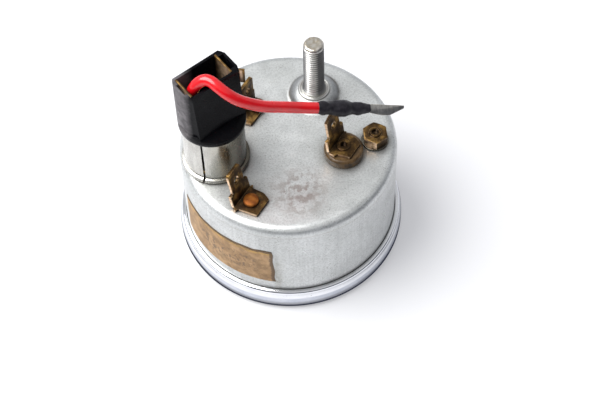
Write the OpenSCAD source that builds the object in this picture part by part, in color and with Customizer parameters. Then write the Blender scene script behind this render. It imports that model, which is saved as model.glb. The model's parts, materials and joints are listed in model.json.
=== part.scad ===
// Oil temperature gauge for a vintage car, 52 mm round case, lying on its face.
// Millimetres. The origin is the centre of the bezel's front plane and +Z points out of the back.

/* [Case] */
// Outside diameter of the round steel case
case_d = 52; // [51:0.5:54]
// Height of the flat back above the bezel's front plane
case_depth = 32; // [31:0.5:36]
// Sheet thickness of the case
case_wall = 0.8; // [0.6:0.1:1]
// Outside radius between the side and the back
shoulder_r = 2.2; // [1.6:0.1:2.8]
// How far the front flange stands out from the side
flange_out = 0.9; // [0.7:0.1:1.2]
// Thickness of the front flange
flange_t = 0.8; // [0.6:0.1:1]

/* [Bezel and glass] */
// Wall of the chrome bezel outside the flange
bezel_wall = 0.8; // [0.7:0.1:1.2]
// Height of the rolled lip behind the flange
bezel_lip = 1; // [0.8:0.1:1.4]
// Diameter of the dial opening in the bezel
opening_d = 45.8; // [44:0.2:47]
// Depth of the glass below the bezel's front plane
glass_depth = 2.3; // [2:0.1:3]
// Thickness of the bezel's inner edge
bezel_edge_t = 0.55; // [0.4:0.05:0.7]
// Thickness of the glass
glass_t = 1.8; // [1.5:0.1:2.2]
// Thickness of the rubber gasket
gasket_t = 0.5; // [0.4:0.1:0.8]
// Depth of the black ring between glass and dial
ring_h = 3.4; // [3.2:0.1:4]
// Wall of the black ring
ring_wall = 1.5; // [1:0.1:1.8]

/* [Dial and pointer] */
// Thickness of the dial plate
dial_t = 0.5; // [0.4:0.1:0.6]
// Radius of the hole in the dial for the spindle
dial_hole_r = 1.4; // [1.2:0.1:1.8]
// Distance of the two dial screws from the centre
dial_screw_x = 8; // [7.5:0.5:9]
// Shank radius of the dial screws
dial_screw_r = 0.8; // [0.6:0.1:1]
// Length of the pointer from the spindle to its tip
pointer_len = 19; // [16:0.5:21]
// Length of the pointer's tail
tail_len = 6; // [5.5:0.5:7]
// Width of the pointer at the hub
pointer_w = 1.7; // [1.2:0.1:2]
// Thickness of the pointer
pointer_t = 0.4; // [0.3:0.1:0.5]
// Gap between the pointer and the dial
pointer_gap = 1.2; // [1.1:0.1:1.4]
// Direction of the pointer at rest, from +X
pointer_rest = 42; // [35:1:55]
// Radius of the pointer's hub
hub_r = 2.1; // [1.8:0.1:2.4]
// Radius of the hub's core where it passes through the pointer
hub_core_r = 1; // [0.8:0.05:1.2]
// Thickness of the hub's disc under the pointer and of its core above it
hub_t = 0.6; // [0.4:0.1:0.7]
// Radius of the spindle
spindle_r = 0.5; // [0.4:0.05:0.6]
// Running clearance of the spindle
spindle_fit = 0.05; // [0.03:0.01:0.08]

/* [Movement] */
// Length of the spacers between dial and front plate
spacer_h = 2.5; // [2:0.1:3]
// Thickness of the movement's front plate
front_plate_t = 1.2; // [1:0.1:1.5]
// Thickness of the plate against the case back
back_plate_t = 1.2; // [1:0.1:1.5]
// Radius of the movement's pillars
pillar_r = 1.6; // [1.3:0.1:1.8]
// Radius of the pillars' riveted ends
tenon_r = 0.9; // [0.7:0.1:1]
// Radius of the coil flanges
coil_r = 5; // [4.5:0.1:5.2]
// Length of each coil bobbin
coil_len = 7.4; // [6.5:0.1:7.6]
// Thickness of the bobbins' flanges
coil_flange_t = 0.7; // [0.5:0.1:0.9]
// Wall of the bobbins' tubes
coil_tube_wall = 0.5; // [0.3:0.1:0.6]
// Distance of the coils' inner flanges from the spindle
coil_start = 5.4; // [5.3:0.1:5.6]
// Radius of the iron cores
core_r = 1.5; // [1.2:0.1:1.8]
// Radius of the iron armature
armature_r = 3.2; // [2.8:0.1:3.4]
// Length of the iron armature
armature_h = 5; // [4:0.5:6]
// Gap between the armature and the cores
air_gap = 0.7; // [0.5:0.1:0.9]
// Length of the resistance card
card_len = 10.5; // [9:0.5:10.5]
// Height of the resistance card
card_h = 9; // [7:0.5:11]
// Thickness of the resistance card
card_t = 1.6; // [1:0.1:1.8]

/* [Mounting stud] */
// Distance of the stud to the right of the centre
stud_x = 6.65; // [6:0.05:7.5]
// Distance of the stud behind the centre
stud_y = 13.6; // [12.5:0.1:14]
// Outside radius of the stud's thread
stud_r = 2.5; // [2:0.1:2.5]
// Radius of the stud's plain shank below the thread
stud_shank_r = 2.7; // [2.5:0.05:2.8]
// Length of the stud above the case back
stud_len = 19.4; // [16:0.1:25]
// Radius of the stud's head inside the case
stud_head_r = 3.6; // [3.1:0.1:3.8]
// Radius of the pressed boss at its foot
boss_r = 6; // [5.5:0.1:6.5]
// Height of the pressed boss
boss_h = 2; // [1.5:0.1:2.5]
// Height of the turned collar on the boss
stud_collar_h = 0.9; // [0.6:0.1:1.2]
// Width of the collar's flat ring
stud_collar_w = 1; // [0.8:0.05:1.2]
// Width of the collar's raised lip against the stud
stud_lip_w = 0.3; // [0.2:0.05:0.5]

/* [Terminals] */
// Width of the spade tabs
tab_w = 4.8; // [4.6:0.1:6.3]
// Height of the two front spade tabs above the foot of their plates
tab_h = 10.4; // [8:0.1:11]
// Height of the rear spade tab above the foot of its plate
rear_tab_h = 9.5; // [8:0.1:10]
// Thickness of the terminal plates
tab_t = 0.8; // [0.5:0.1:1]
// Hole radius in the tabs
tab_hole_r = 0.9; // [0.7:0.1:1.1]
// Distance from the top of a tab to its hole
tab_hole_drop = 3.45; // [2.5:0.05:3.8]
// The same distance on the rear tab
rear_hole_drop = 3; // [2.5:0.05:3.3]
// Direction of the terminal plates, from +X
tab_turn = -33; // [-36:1:-30]
// Lean of the front tab away from its rivet
front_tab_lean = 11; // [5:1:13]
// Lean of the right tab away from its rivet
right_tab_lean = 8; // [5:1:13]
// Lean of the rear tab away from its rivet
rear_tab_lean = 1; // [0:1:4]
// How far the ears at the fold stand out past the two front tabs
tab_ear = 1.1; // [0.6:0.1:1.2]
// The same distance on the rear tab
rear_tab_ear = 0.4; // [0.2:0.1:0.8]
// Height of the ears at the fold
ear_h = 4.2; // [2:0.1:4.5]
// Shank radius of the copper rivets
rivet_r = 1.25; // [1:0.05:1.4]
// Head radius of the copper rivets
rivet_head_r = 1.85; // [1.7:0.05:2.1]
// Distance of the insulating bush from the case's right side
bush_edge = 13; // [12.8:0.1:13.5]
// Distance of the insulating bush in front of the centre
bush_front = 4.1; // [4.1:0.1:4.6]
// Radius of the insulating bush
bush_r = 4.65; // [4.3:0.05:4.7]
// Height of the insulating bush
bush_h = 2.4; // [2:0.1:3.5]
// Chamfer round the top of the insulating bush
bush_chamfer = 0.45; // [0.2:0.05:0.6]
// Height of the inner bush under the case back
inner_bush_h = 2.3; // [1.8:0.1:2.8]
// Radius of the bush's spigot in the case
bush_spigot_r = 2.6; // [2.2:0.1:3]
// Distance from a rivet to the far edge of its terminal plate
plate_far = 3.3; // [2.6:0.1:3.4]
// Distance from a rivet to the front edge of its terminal plate
plate_front = 3.3; // [2.9:0.1:3.5]
// Distance from a rivet to the back edge of its terminal plate
plate_back = 3.5; // [3.1:0.1:3.7]
// How far the plate stands out past the ears at the fold
plate_out = 0.55; // [0.3:0.05:0.6]
// Distance from the rear rivet to the far edge of its plate
rear_plate_far = 1.55; // [1.5:0.05:2]
// Distance from the rear rivet to the front edge of its plate
rear_plate_front = 6.1; // [5.5:0.1:6.4]
// Distance from the rear rivet to the back edge of its plate
rear_plate_back = 2.2; // [2:0.1:2.6]
// How far the rear tab is set forward from its rivet
rear_tab_shift = 0.98; // [0.6:0.02:1.2]
// Shank radius of the hollow rivet in the bush
eyelet_r = 1.1; // [0.9:0.1:1.2]

/* [Back screw] */
// Distance of the back screw from the case's right side
screw_edge = 5.4; // [5:0.1:5.5]
// Distance of the back screw behind the centre
screw_y = -0.8; // [-0.8:0.1:0.5]
// Radius of the back screw
screw_r = 1.5; // [1.2:0.1:1.5]
// Width of the brass nut across its flats
nut_af = 5.5; // [5:0.1:5.8]
// Height of the brass nut
nut_h = 2.7; // [2:0.1:3.2]
// How far the screw stands out of the nut
screw_proud = 0.5; // [0.3:0.1:1.5]
// Radius of the washer under the nut
washer_r = 3.25; // [3.05:0.05:3.3]
// Thickness of the washer
washer_t = 0.5; // [0.3:0.1:0.8]

/* [Label] */
// Height of the paper label
label_h = 13.6; // [8:0.1:16]
// Gap between the bezel and the label
label_gap = 3.2; // [0.6:0.1:4]
// Thickness of the paper label
label_t = 0.15; // [0.1:0.05:0.3]
// Angle that the label covers
label_angle = 62; // [40:1:120]

/* [Lamp holder] */
// Direction of the lamp holder from the centre, from +X
lamp_dir = 192.8; // [190:0.2:194]
// Gap between the lamp holder's hole and the inside of the case
lamp_edge = 0.15; // [0.05:0.05:0.5]
// Turn of the black cap, from +X
lamp_turn = 37; // [33:1:41]
// Outside radius of the split metal sleeve
sleeve_r = 7.33; // [7:0.01:7.35]
// Wall of the split metal sleeve
sleeve_wall = 0.45; // [0.3:0.05:0.6]
// Visible height of the split metal sleeve
sleeve_h = 15; // [14:0.5:17]
// Length of the sleeve inside the case
sleeve_in = 8; // [7:0.5:9]
// Width of the slit in the sleeve
slit_w = 0.5; // [0.3:0.1:1]
// Sliding clearance of the sleeve in the case
sleeve_fit = 0.08; // [0.05:0.01:0.1]
// How far the sleeve's stop bead stands out
bead_out = 0.77; // [0.4:0.01:0.8]
// Height of the sleeve's stop bead
bead_h = 1.1; // [0.8:0.1:1.6]
// Gap between the stop bead and the case
bead_gap = 0.1; // [0.05:0.05:0.3]
// Radius of the round foot of the black cap
cap_foot_r = 7.9; // [7.7:0.05:8.1]
// Thickness of the round foot of the black cap
cap_foot_h = 1.2; // [0.8:0.1:1.6]
// Distance of the black cap's sides from its axis
cap_side = 7.2; // [6.9:0.05:7.4]
// Height of the black cap above its foot
cap_h = 14.5; // [13:0.5:15]
// Distance of the cap's flat back from its axis
cap_back = 4.75; // [4.5:0.05:5]
// Distance of the top of the cap's flat front from its axis
cap_face = 2.75; // [2.7:0.05:3]
// Lean of the cap's flat front
cap_face_lean = 6; // [0:0.5:7]
// Wall of the black cap at its flat sides
cap_wall = 0.7; // [0.5:0.05:0.75]
// Depth of the open top of the black cap
cap_depth = 12; // [10:0.5:12]
// Length of the cap's spigot in the sleeve
cap_spigot_h = 6; // [4:0.5:7]
// Depth of the two side pockets of the black cap
pocket_depth = 6; // [4:0.5:8]
// Wall outside the side pockets
pocket_wall = 0.5; // [0.4:0.05:0.6]
// Width of the left side pocket
pocket_l_w = 3.4; // [2.6:0.2:4]
// Width of the right side pocket
pocket_r_w = 4.4; // [3.4:0.2:4.8]
// Thickness of the contact strips
strip_t = 0.5; // [0.3:0.05:0.6]

/* [Bulb] */
// Radius of the bulb's screw cap
bulb_r = 4.8; // [4.5:0.05:4.9]
// Running clearance of the bulb in its socket
bulb_fit = 0.05; // [0.03:0.01:0.1]
// Length of the bulb's metal cap
bulb_cap_h = 8.5; // [7:0.5:9]
// Radius of the bulb's glass globe
globe_r = 5.4; // [5:0.1:5.6]
// Length of the bulb's glass
globe_h = 11.4; // [11:0.1:12]
// Wall of the brass socket
socket_wall = 0.55; // [0.4:0.05:0.7]

/* [Lead] */
// Outside diameter of the red lead
lead_d = 2.7; // [2.2:0.1:2.8]
// Largest diameter of the black sleeve on the lead
shrink_d = 4; // [3.6:0.1:4.4]
// Width of the flat blade at the lead's end
blade_w = 2.4; // [2:0.1:2.8]
// Thickness of the flat blade at the lead's end
blade_t = 0.6; // [0.5:0.1:0.8]

/* [Hidden] */
$fn = 72;
eps = 0.01;

// Direction of the label's right end, from +X
label_end = 261;

case_r = case_d / 2;
case_in = case_r - case_wall;
case_back = case_depth - case_wall;
inner_shoulder = shoulder_r - case_wall;
flange_r = case_r + flange_out;
bezel_in = flange_r + 0.1;
bezel_r = bezel_in + bezel_wall;
gasket_z = glass_depth + glass_t;
flange_z = gasket_z + gasket_t;
lip_z = flange_z + flange_t;
bezel_h = lip_z + bezel_lip;

dial_z = flange_z + ring_h;
plate_z = dial_z + dial_t + spacer_h;
plate_top = plate_z + front_plate_t;
back_plate_z = case_back - back_plate_t;
pointer_z = dial_z - pointer_gap - pointer_t;
hub_z = pointer_z - hub_t;
post_z = back_plate_z - 4.8;
post_bore_h = 1.8;
coil_z = (plate_top + post_z) / 2 + 0.3;
coil_end = coil_start + coil_len;
core_start = armature_r + air_gap;
yoke_x = coil_end + 0.6;
yoke_t = 1;
yoke_w = 7;
movement_left = 10;
movement_front = 12.5;
card_at = [-3.5, -9.8];
movement_edge = yoke_x + yoke_t + 1;
pillars = [[-7.5, 13.4], [10, 7.6], [9.3, -10.6], [-6.5, -8.5]];
screw_head_h = 1.6;
stud_chamfer = 0.5;
thread_z = case_depth + boss_h + stud_collar_h + 0.2;
rivet_foot_h = 0.8;

// Places of the three terminals' rivets
earth_at = [-9, -17.4];
battery_at = [-7, 9.8];
sender_at = [case_r - bush_edge, -bush_front];
screw_at = [case_r - screw_edge, screw_y];
bush_top = case_depth + bush_h;
eyelet_head_r = eyelet_r + 0.6;
eyelet_head_h = 0.4;
// Distances from the three rivets to the outer faces of their tabs, past the rivets' heads
earth_reach = rivet_head_r + 0.4 + tab_t;
battery_reach = rivet_head_r + 0.06 + tab_t;
sender_reach = eyelet_head_r + tab_t;
// Outlines of the three plates: far edge, front edge, back edge, step of the front edge, width past the ears
earth_plate = [plate_far, plate_front, plate_back, -1.3, plate_out];
battery_plate = [rear_plate_far, rear_plate_front, rear_plate_back, -1.4, 0.15];
sender_plate = [plate_far - 0.15, plate_front - 0.35, plate_back - 0.1, 0.1, plate_out - 0.3];
// The three tabs: height, distance from the top to the hole, width of the ears, lean, shift to the front
earth_spade = [tab_h, tab_hole_drop, tab_ear, front_tab_lean, 0];
battery_spade = [rear_tab_h, rear_hole_drop, rear_tab_ear, rear_tab_lean, rear_tab_shift];
sender_spade = [tab_h, tab_hole_drop, tab_ear, right_tab_lean, 0];
// Cut corners at the top of the tabs, width and height, and the larger one at the front of the right tab
tab_corner = [0.45, 0.45];
sender_corner = [1.7, 0.65];

sleeve_hole_r = sleeve_r + sleeve_fit;
lamp_at = (case_in - sleeve_hole_r - lamp_edge) * [cos(lamp_dir), sin(lamp_dir)];
sleeve_in_r = sleeve_r - sleeve_wall;
cap_z = case_depth + sleeve_h;
trunk_z = cap_z + cap_foot_h;
cap_top = trunk_z + cap_h;
well_z = cap_top - cap_depth;
slit_turn = 250;
strip_l_u = -5.6;
strip_r_u = 4.8;
plunger_r = 2;
socket_r = bulb_r + bulb_fit;
bulb_z = case_depth - 5.5;
bulb_top = bulb_z + bulb_cap_h;
socket_top = bulb_top + 1;
plunger_z = socket_top + 0.3;

// Route of the red lead from the solder joint to the black sleeve
lead_route = [[-20.8, -6.0, 59.4], [-20.7, -6.2, 61.0], [-20.1, -6.2, 62.4], [-19.3, -6.0, 63.5],
    [-17.9, -6.0, 64.6], [-16.4, -6.6, 64.9], [-14.9, -7.8, 64.5], [-13.3, -8.8, 63.6], [-11.6, -9.3, 62.3],
    [-9.9, -9.4, 61.0], [-7.5, -9.0, 59.2], [-4.7, -8.1, 57.0], [-0.4, -6.2, 53.9], [3.0, -4.8, 51.6],
    [6.9, -3.6, 49.6]];
lead_steps = 2;
lead_sides = 8;
// Ends of the black sleeve and of the flat blade
sleeve_start = [6.9, -3.6, 49.6];
sleeve_stop = [19.0, -1.1, 45.3];
blade_stop = [27.2, 0.2, 42.4];
sleeve_dir = sleeve_stop - sleeve_start;
sleeve_len = norm(sleeve_dir);
blade_dir = blade_stop - sleeve_stop;
blade_len = norm(blade_dir);

// Point on a smooth curve through four route points
function smooth_point(p, i, t) =
    let (a = p[max(i - 1, 0)], b = p[i], c = p[i + 1], d = p[min(i + 2, len(p) - 1)])
    0.5 * (2 * b + (c - a) * t + (2 * a - 5 * b + 4 * c - d) * t * t + (3 * b - a - 3 * c + d) * t * t * t);
function smooth_path(p, n) =
    [for (i = [0 : len(p) - 2]) for (k = [0 : n - 1]) smooth_point(p, i, k / n), p[len(p) - 1]];
function unit(v) = v / norm(v);
function path_dir(p, i) = unit(p[min(i + 1, len(p) - 1)] - p[max(i - 1, 0)]);
function side_dir(t) = unit(cross([0, 1, 0], t));
function ring_points(p, i, r, n, first, last) =
    let (t = i == 0 ? first : i == len(p) - 1 ? last : path_dir(p, i), s = side_dir(t), u = cross(t, s))
    [for (k = [0 : n - 1]) p[i] + r * (cos(k * 360 / n) * s + sin(k * 360 / n) * u)];

module tube_along(p, r, n, first, last) {
    rings = [for (i = [0 : len(p) - 1]) each ring_points(p, i, r, n, first, last)];
    m = len(p);
    faces = concat(
        [[for (k = [0 : n - 1]) k]],
        [[for (k = [n - 1 : -1 : 0]) (m - 1) * n + k]],
        [for (i = [0 : m - 2]) for (k = [0 : n - 1]) each [
            [i * n + k, (i + 1) * n + k, i * n + (k + 1) % n],
            [i * n + (k + 1) % n, (i + 1) * n + k, (i + 1) * n + (k + 1) % n]]]);
    polyhedron(rings, faces);
}

module tube(r_out, r_in, h) {
    difference() {
        cylinder(r = r_out, h = h);
        translate([0, 0, -eps]) cylinder(r = r_in, h = h + 2 * eps);
    }
}

// Puts children at p with their Z along the direction d
module point_along(p, d) {
    translate(p) rotate([0, acos(d[2] / norm(d)), atan2(d[1], d[0])]) children();
}

module hole_at(p, r, z, h) {
    translate([p[0], p[1], z - eps]) cylinder(r = r, h = h + 2 * eps);
}

// Case and its front

module case() {
    color("silver")
    difference() {
        union() {
            rotate_extrude($fn = 120) polygon(concat(
                [[case_in, flange_z], [flange_r, flange_z], [flange_r, lip_z], [case_r, lip_z]],
                [for (a = [0 : 15 : 90])
                    [case_r - shoulder_r + shoulder_r * cos(a),
                     case_depth - shoulder_r + shoulder_r * sin(a)]],
                [[0, case_depth], [0, case_back]],
                [for (a = [90 : -15 : 0])
                    [case_in - inner_shoulder + inner_shoulder * cos(a),
                        case_back - inner_shoulder + inner_shoulder * sin(a)]]));
            translate([stud_x, stud_y, case_back])
                rotate_extrude() polygon([[0, 0], [boss_r, 0], [boss_r, case_wall],
                    [boss_r - 0.5, case_wall + boss_h * 0.35], [boss_r - 1.3, case_wall + boss_h * 0.8],
                    [boss_r - 1.9, case_wall + boss_h], [0, case_wall + boss_h]]);
        }
        hole_at(lamp_at, sleeve_hole_r, case_back - 1, case_wall + 1);
        hole_at([stud_x, stud_y], stud_shank_r, case_back, case_wall + boss_h);
        hole_at(earth_at, rivet_r, case_back, case_wall);
        hole_at(battery_at, rivet_r, case_back, case_wall);
        hole_at(sender_at, bush_spigot_r, case_back, case_wall);
        hole_at(screw_at, screw_r, case_back, case_wall);
    }
}

module bezel() {
    lip_in = case_r + 0.1;
    opening_r = opening_d / 2;
    color("gainsboro")
    rotate_extrude($fn = 120) polygon(concat(
        [[opening_r, glass_depth], [opening_r, glass_depth - bezel_edge_t]],
        [[bezel_r - 2.4, 0.3], [bezel_r - 1.8, 0]],
        [for (a = [0 : 15 : 90]) [bezel_r - 1.1 + 1.1 * sin(a), 1.6 - 1.6 * cos(a)]],
        [[bezel_r, 3], [bezel_r - 0.12, flange_z - 0.4], [bezel_r - 0.45, flange_z]],
        [[bezel_r - 0.45, lip_z - 0.3]],
        [for (a = [0 : 30 : 90]) [bezel_r - 1.1 + 0.6 * cos(a), bezel_h - 0.7 + 0.7 * sin(a)]],
        [[lip_in + 0.15, bezel_h], [lip_in, bezel_h - 0.15], [lip_in, lip_z]],
        [[bezel_in, lip_z], [bezel_in, glass_depth]]));
}

module glass() {
    color("lightcyan", 0.4)
    translate([0, 0, glass_depth]) cylinder(r = bezel_in - 0.4, h = glass_t, $fn = 120);
}

module gasket() {
    color("dimgray")
    translate([0, 0, gasket_z]) tube(bezel_in - 0.4, case_in - 0.7, gasket_t, $fn = 120);
}

module dial_ring() {
    color("black")
    translate([0, 0, flange_z]) tube(case_in - 0.1, case_in - 0.1 - ring_wall, ring_h, $fn = 120);
}

module dial() {
    color("black")
    difference() {
        translate([0, 0, dial_z]) cylinder(r = case_in - 0.2, h = dial_t, $fn = 120);
        hole_at([0, 0], dial_hole_r, dial_z, dial_t);
        hole_at([dial_screw_x, 0], dial_screw_r, dial_z, dial_t);
        hole_at([-dial_screw_x, 0], dial_screw_r, dial_z, dial_t);
    }
}

module dial_screw(x) {
    color("gray")
    difference() {
        union() {
            translate([x, 0, dial_z - 0.7]) cylinder(r = dial_screw_r + 0.8, h = 0.7);
            translate([x, 0, dial_z - eps])
                cylinder(r = dial_screw_r, h = dial_t + spacer_h + front_plate_t + eps);
        }
        translate([x - 2, -0.2, dial_z - 0.7 - eps]) cube([4, 0.4, 0.3]);
    }
}

module spacer(x) {
    color("goldenrod")
    translate([x, 0, dial_z + dial_t]) tube(dial_screw_r + 1.1, dial_screw_r, spacer_h);
}

// Movement

module front_plate() {
    color("goldenrod")
    difference() {
        translate([-movement_left, -movement_front, plate_z])
            cube([movement_left + movement_edge, movement_front + movement_edge, front_plate_t]);
        hole_at([0, 0], spindle_r + spindle_fit, plate_z, front_plate_t);
        for (x = [-dial_screw_x, dial_screw_x]) hole_at([x, 0], dial_screw_r, plate_z, front_plate_t);
        for (p = pillars) hole_at(p, tenon_r, plate_z, front_plate_t);
    }
}

module back_plate() {
    color("darkgray")
    difference() {
        translate([0, 0, back_plate_z])
            cylinder(r = case_in - inner_shoulder - 0.3, h = back_plate_t, $fn = 120);
        hole_at(lamp_at, sleeve_hole_r + 0.6, back_plate_z, back_plate_t);
        hole_at(sender_at, bush_r + 0.3, back_plate_z, back_plate_t);
        hole_at(earth_at, rivet_r, back_plate_z, back_plate_t);
        hole_at(battery_at, rivet_r, back_plate_z, back_plate_t);
        hole_at([stud_x, stud_y], stud_shank_r, back_plate_z, back_plate_t);
        hole_at(screw_at, screw_r, back_plate_z, back_plate_t);
        for (p = pillars) hole_at(p, tenon_r, back_plate_z, back_plate_t);
    }
}

module pillar(p) {
    color("goldenrod")
    translate([p[0], p[1], 0]) union() {
        translate([0, 0, plate_z]) cylinder(r = tenon_r, h = case_back - plate_z);
        translate([0, 0, plate_top]) cylinder(r = pillar_r, h = back_plate_z - plate_top);
    }
}

module pivot_post() {
    color("goldenrod")
    difference() {
        translate([0, 0, post_z]) cylinder(r = 2, h = back_plate_z - post_z);
        hole_at([0, 0], spindle_r + spindle_fit, post_z, post_bore_h);
    }
}

module yoke(turn) {
    color("slategray")
    rotate([0, 0, turn]) difference() {
        translate([yoke_x, -yoke_w / 2, plate_top])
            cube([yoke_t, yoke_w, coil_z + coil_r - plate_top]);
        translate([yoke_x - eps, 0, coil_z]) rotate([0, 90, 0]) cylinder(r = core_r, h = yoke_t + 2 * eps);
    }
}

module bobbin(turn) {
    color("tan")
    rotate([0, 0, turn]) translate([coil_start, 0, coil_z]) rotate([0, 90, 0])
        rotate_extrude() polygon([[core_r, 0], [coil_r, 0], [coil_r, coil_flange_t],
            [core_r + coil_tube_wall, coil_flange_t],
            [core_r + coil_tube_wall, coil_len - coil_flange_t], [coil_r, coil_len - coil_flange_t],
            [coil_r, coil_len], [core_r, coil_len]]);
}

module winding(turn) {
    color("chocolate")
    rotate([0, 0, turn]) translate([coil_start + coil_flange_t, 0, coil_z]) rotate([0, 90, 0])
        tube(coil_r - 0.4, core_r + coil_tube_wall, coil_len - 2 * coil_flange_t);
}

module core(turn) {
    color("slategray")
    rotate([0, 0, turn]) translate([core_start, 0, coil_z]) rotate([0, 90, 0])
        cylinder(r = core_r, h = yoke_x + yoke_t - core_start);
}

module ballast_card() {
    color("peru")
    translate([card_at[0], card_at[1], plate_top]) cube([card_len, card_t, card_h]);
}

// Pointer and its spindle

module pointer() {
    color("orangered")
    difference() {
        union() {
            rotate([0, 0, pointer_rest]) translate([0, 0, pointer_z]) linear_extrude(pointer_t)
                polygon([[pointer_len, 0.2], [pointer_len - 2, 0.45], [0, pointer_w / 2], [-tail_len, 0.9],
                    [-tail_len, -0.9], [0, -pointer_w / 2], [pointer_len - 2, -0.45], [pointer_len, -0.2]]);
            translate([0, 0, pointer_z]) cylinder(r = hub_core_r + 0.7, h = pointer_t);
        }
        hole_at([0, 0], hub_core_r, pointer_z, pointer_t);
    }
}

module pointer_hub() {
    color("black")
    difference() {
        union() {
            translate([0, 0, hub_z]) cylinder(r = hub_r, h = hub_t);
            translate([0, 0, hub_z]) cylinder(r = hub_core_r, h = 2 * hub_t + pointer_t);
        }
        hole_at([0, 0], spindle_r, hub_z, 2 * hub_t + pointer_t);
    }
}

module balance_weight() {
    color("gray")
    rotate([0, 0, pointer_rest]) translate([-tail_len + 1.2, 0, pointer_z + pointer_t])
        cylinder(r = 1.2, h = 0.6);
}

module spindle() {
    color("lightsteelblue")
    translate([0, 0, hub_z]) cylinder(r = spindle_r, h = post_z + post_bore_h - 0.2 - hub_z);
}

module armature() {
    color("slategray")
    difference() {
        translate([0, 0, coil_z - armature_h / 2]) cylinder(r = armature_r, h = armature_h);
        hole_at([0, 0], spindle_r, coil_z - armature_h / 2, armature_h);
        for (s = [-1, 1])
            translate([-armature_r, s * armature_r - 1 + s * 0.1, coil_z - armature_h / 2 - eps])
                cube([2 * armature_r, 2, armature_h + 2 * eps]);
    }
}

// Stud, screw, nut and label on the back

module stud() {
    color("darkkhaki")
    translate([stud_x, stud_y, 0]) union() {
        translate([0, 0, back_plate_z - screw_head_h]) cylinder(r = stud_head_r, h = screw_head_h);
        translate([0, 0, back_plate_z - eps]) cylinder(r = stud_shank_r, h = thread_z - back_plate_z + eps);
        translate([0, 0, thread_z - eps])
            cylinder(r = stud_r, h = case_depth + stud_len - stud_chamfer - thread_z + eps);
        translate([0, 0, case_depth + stud_len - stud_chamfer])
            cylinder(r1 = stud_r, r2 = stud_r - stud_chamfer, h = stud_chamfer);
    }
}

module stud_collar() {
    color("darkkhaki")
    translate([stud_x, stud_y, case_depth + boss_h]) union() {
        tube(stud_shank_r + stud_collar_w, stud_shank_r, stud_collar_h / 2);
        tube(stud_shank_r + stud_lip_w, stud_shank_r, stud_collar_h);
    }
}

module back_screw() {
    color("darkgoldenrod")
    translate([screw_at[0], screw_at[1], 0]) union() {
        translate([0, 0, back_plate_z - screw_head_h]) cylinder(r = screw_r + 1.1, h = screw_head_h);
        translate([0, 0, back_plate_z - eps])
            cylinder(r = screw_r, h = case_depth + washer_t + nut_h + screw_proud - back_plate_z + eps);
    }
}

module nut_washer() {
    color("silver")
    translate([screw_at[0], screw_at[1], case_depth]) tube(washer_r, screw_r, washer_t);
}

module brass_nut() {
    color("darkgoldenrod")
    translate([screw_at[0], screw_at[1], case_depth + washer_t]) rotate([0, 0, 4]) difference() {
        intersection() {
            cylinder(r = nut_af / 2 / cos(30), h = nut_h, $fn = 6);
            rotate_extrude() polygon([[0, 0], [nut_af / 2 + 0.5, 0], [nut_af / 2 + 0.5, nut_h - 0.35],
                [nut_af / 2 - 0.1, nut_h], [0, nut_h]]);
        }
        translate([0, 0, -eps]) cylinder(r = screw_r, h = nut_h + 2 * eps);
    }
}

module label() {
    far = 3 * case_r;
    color("peru")
    intersection() {
        translate([0, 0, bezel_h + label_gap]) tube(case_r + label_t, case_r, label_h, $fn = 120);
        translate([0, 0, bezel_h]) linear_extrude(label_h + label_gap + 1)
            polygon([[0, 0],
                for (k = [0 : 4]) let (a = label_end - k * label_angle / 4) far * [cos(a), sin(a)]]);
    }
}

// Terminals: the tab stands along local Y at the distance reach from the rivet, and corner is the cut at the
// front of its top. The plate's front edge is stepped.

module terminal(p, z, reach, plate, tab, corner, shank_r) {
    far_x = plate[0];
    front = plate[1];
    back = plate[2];
    step = plate[3];
    h = tab[0];
    ear = tab_w / 2 + tab[2];
    lean = tab[3];
    shift = tab[4];
    fold = ear + plate[4];
    translate([p[0], p[1], z]) rotate([0, 0, tab_turn]) difference() {
        union() {
            linear_extrude(tab_t) polygon([[-reach, -shift - fold], [step - 0.4, -shift - fold],
                [step, -front], [far_x, 0.7 - front], [far_x, back - 0.9], [far_x - 2, back],
                [1.4 - reach, back - 0.2], [1.1 - reach, fold - shift], [-reach, fold - shift]]);
            translate([-reach, -shift, 0]) rotate([0, -lean, 0]) {
                translate([0, -ear, 0]) cube([tab_t, 2 * ear, ear_h]);
                translate([tab_t, 0, 0]) rotate([0, -90, 0]) linear_extrude(tab_t)
                    polygon([[0, -tab_w / 2], [h - corner[1], -tab_w / 2], [h, corner[0] - tab_w / 2],
                        [h, tab_w / 2 - tab_corner[0]], [h - tab_corner[1], tab_w / 2], [0, tab_w / 2]]);
            }
        }
        translate([-reach, -shift, 0]) rotate([0, -lean, 0])
            translate([-1, 0, h - tab[1]]) rotate([0, 90, 0]) cylinder(r = tab_hole_r, h = 3);
        translate([0, 0, -eps]) cylinder(r = shank_r, h = tab_t + 2 * eps);
        translate([-reach - 2, -2 * tab_w, -2]) cube([3 * tab_w, 4 * tab_w, 2]);
    }
}

module rivet(p) {
    top = case_depth + tab_t;
    color("peru")
    translate([p[0], p[1], 0]) union() {
        translate([0, 0, back_plate_z - rivet_foot_h]) cylinder(r = rivet_head_r, h = rivet_foot_h);
        translate([0, 0, back_plate_z - eps]) cylinder(r = rivet_r, h = top - back_plate_z + 2 * eps);
        translate([0, 0, top]) rotate_extrude() polygon([[0, 0], [rivet_head_r, 0], [rivet_head_r, 0.45],
            [rivet_head_r - 0.3, 0.85], [rivet_head_r - 0.9, 1.05], [0, 1.1]]);
    }
}

module earth_tab() {
    color("darkgoldenrod")
    terminal(earth_at, case_depth, earth_reach, earth_plate, earth_spade, tab_corner, rivet_r);
}

module earth_rivet() {
    rivet(earth_at);
}

module battery_tab() {
    color("darkgoldenrod")
    terminal(battery_at, case_depth, battery_reach, battery_plate, battery_spade, tab_corner, rivet_r);
}

module battery_rivet() {
    rivet(battery_at);
}

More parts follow.
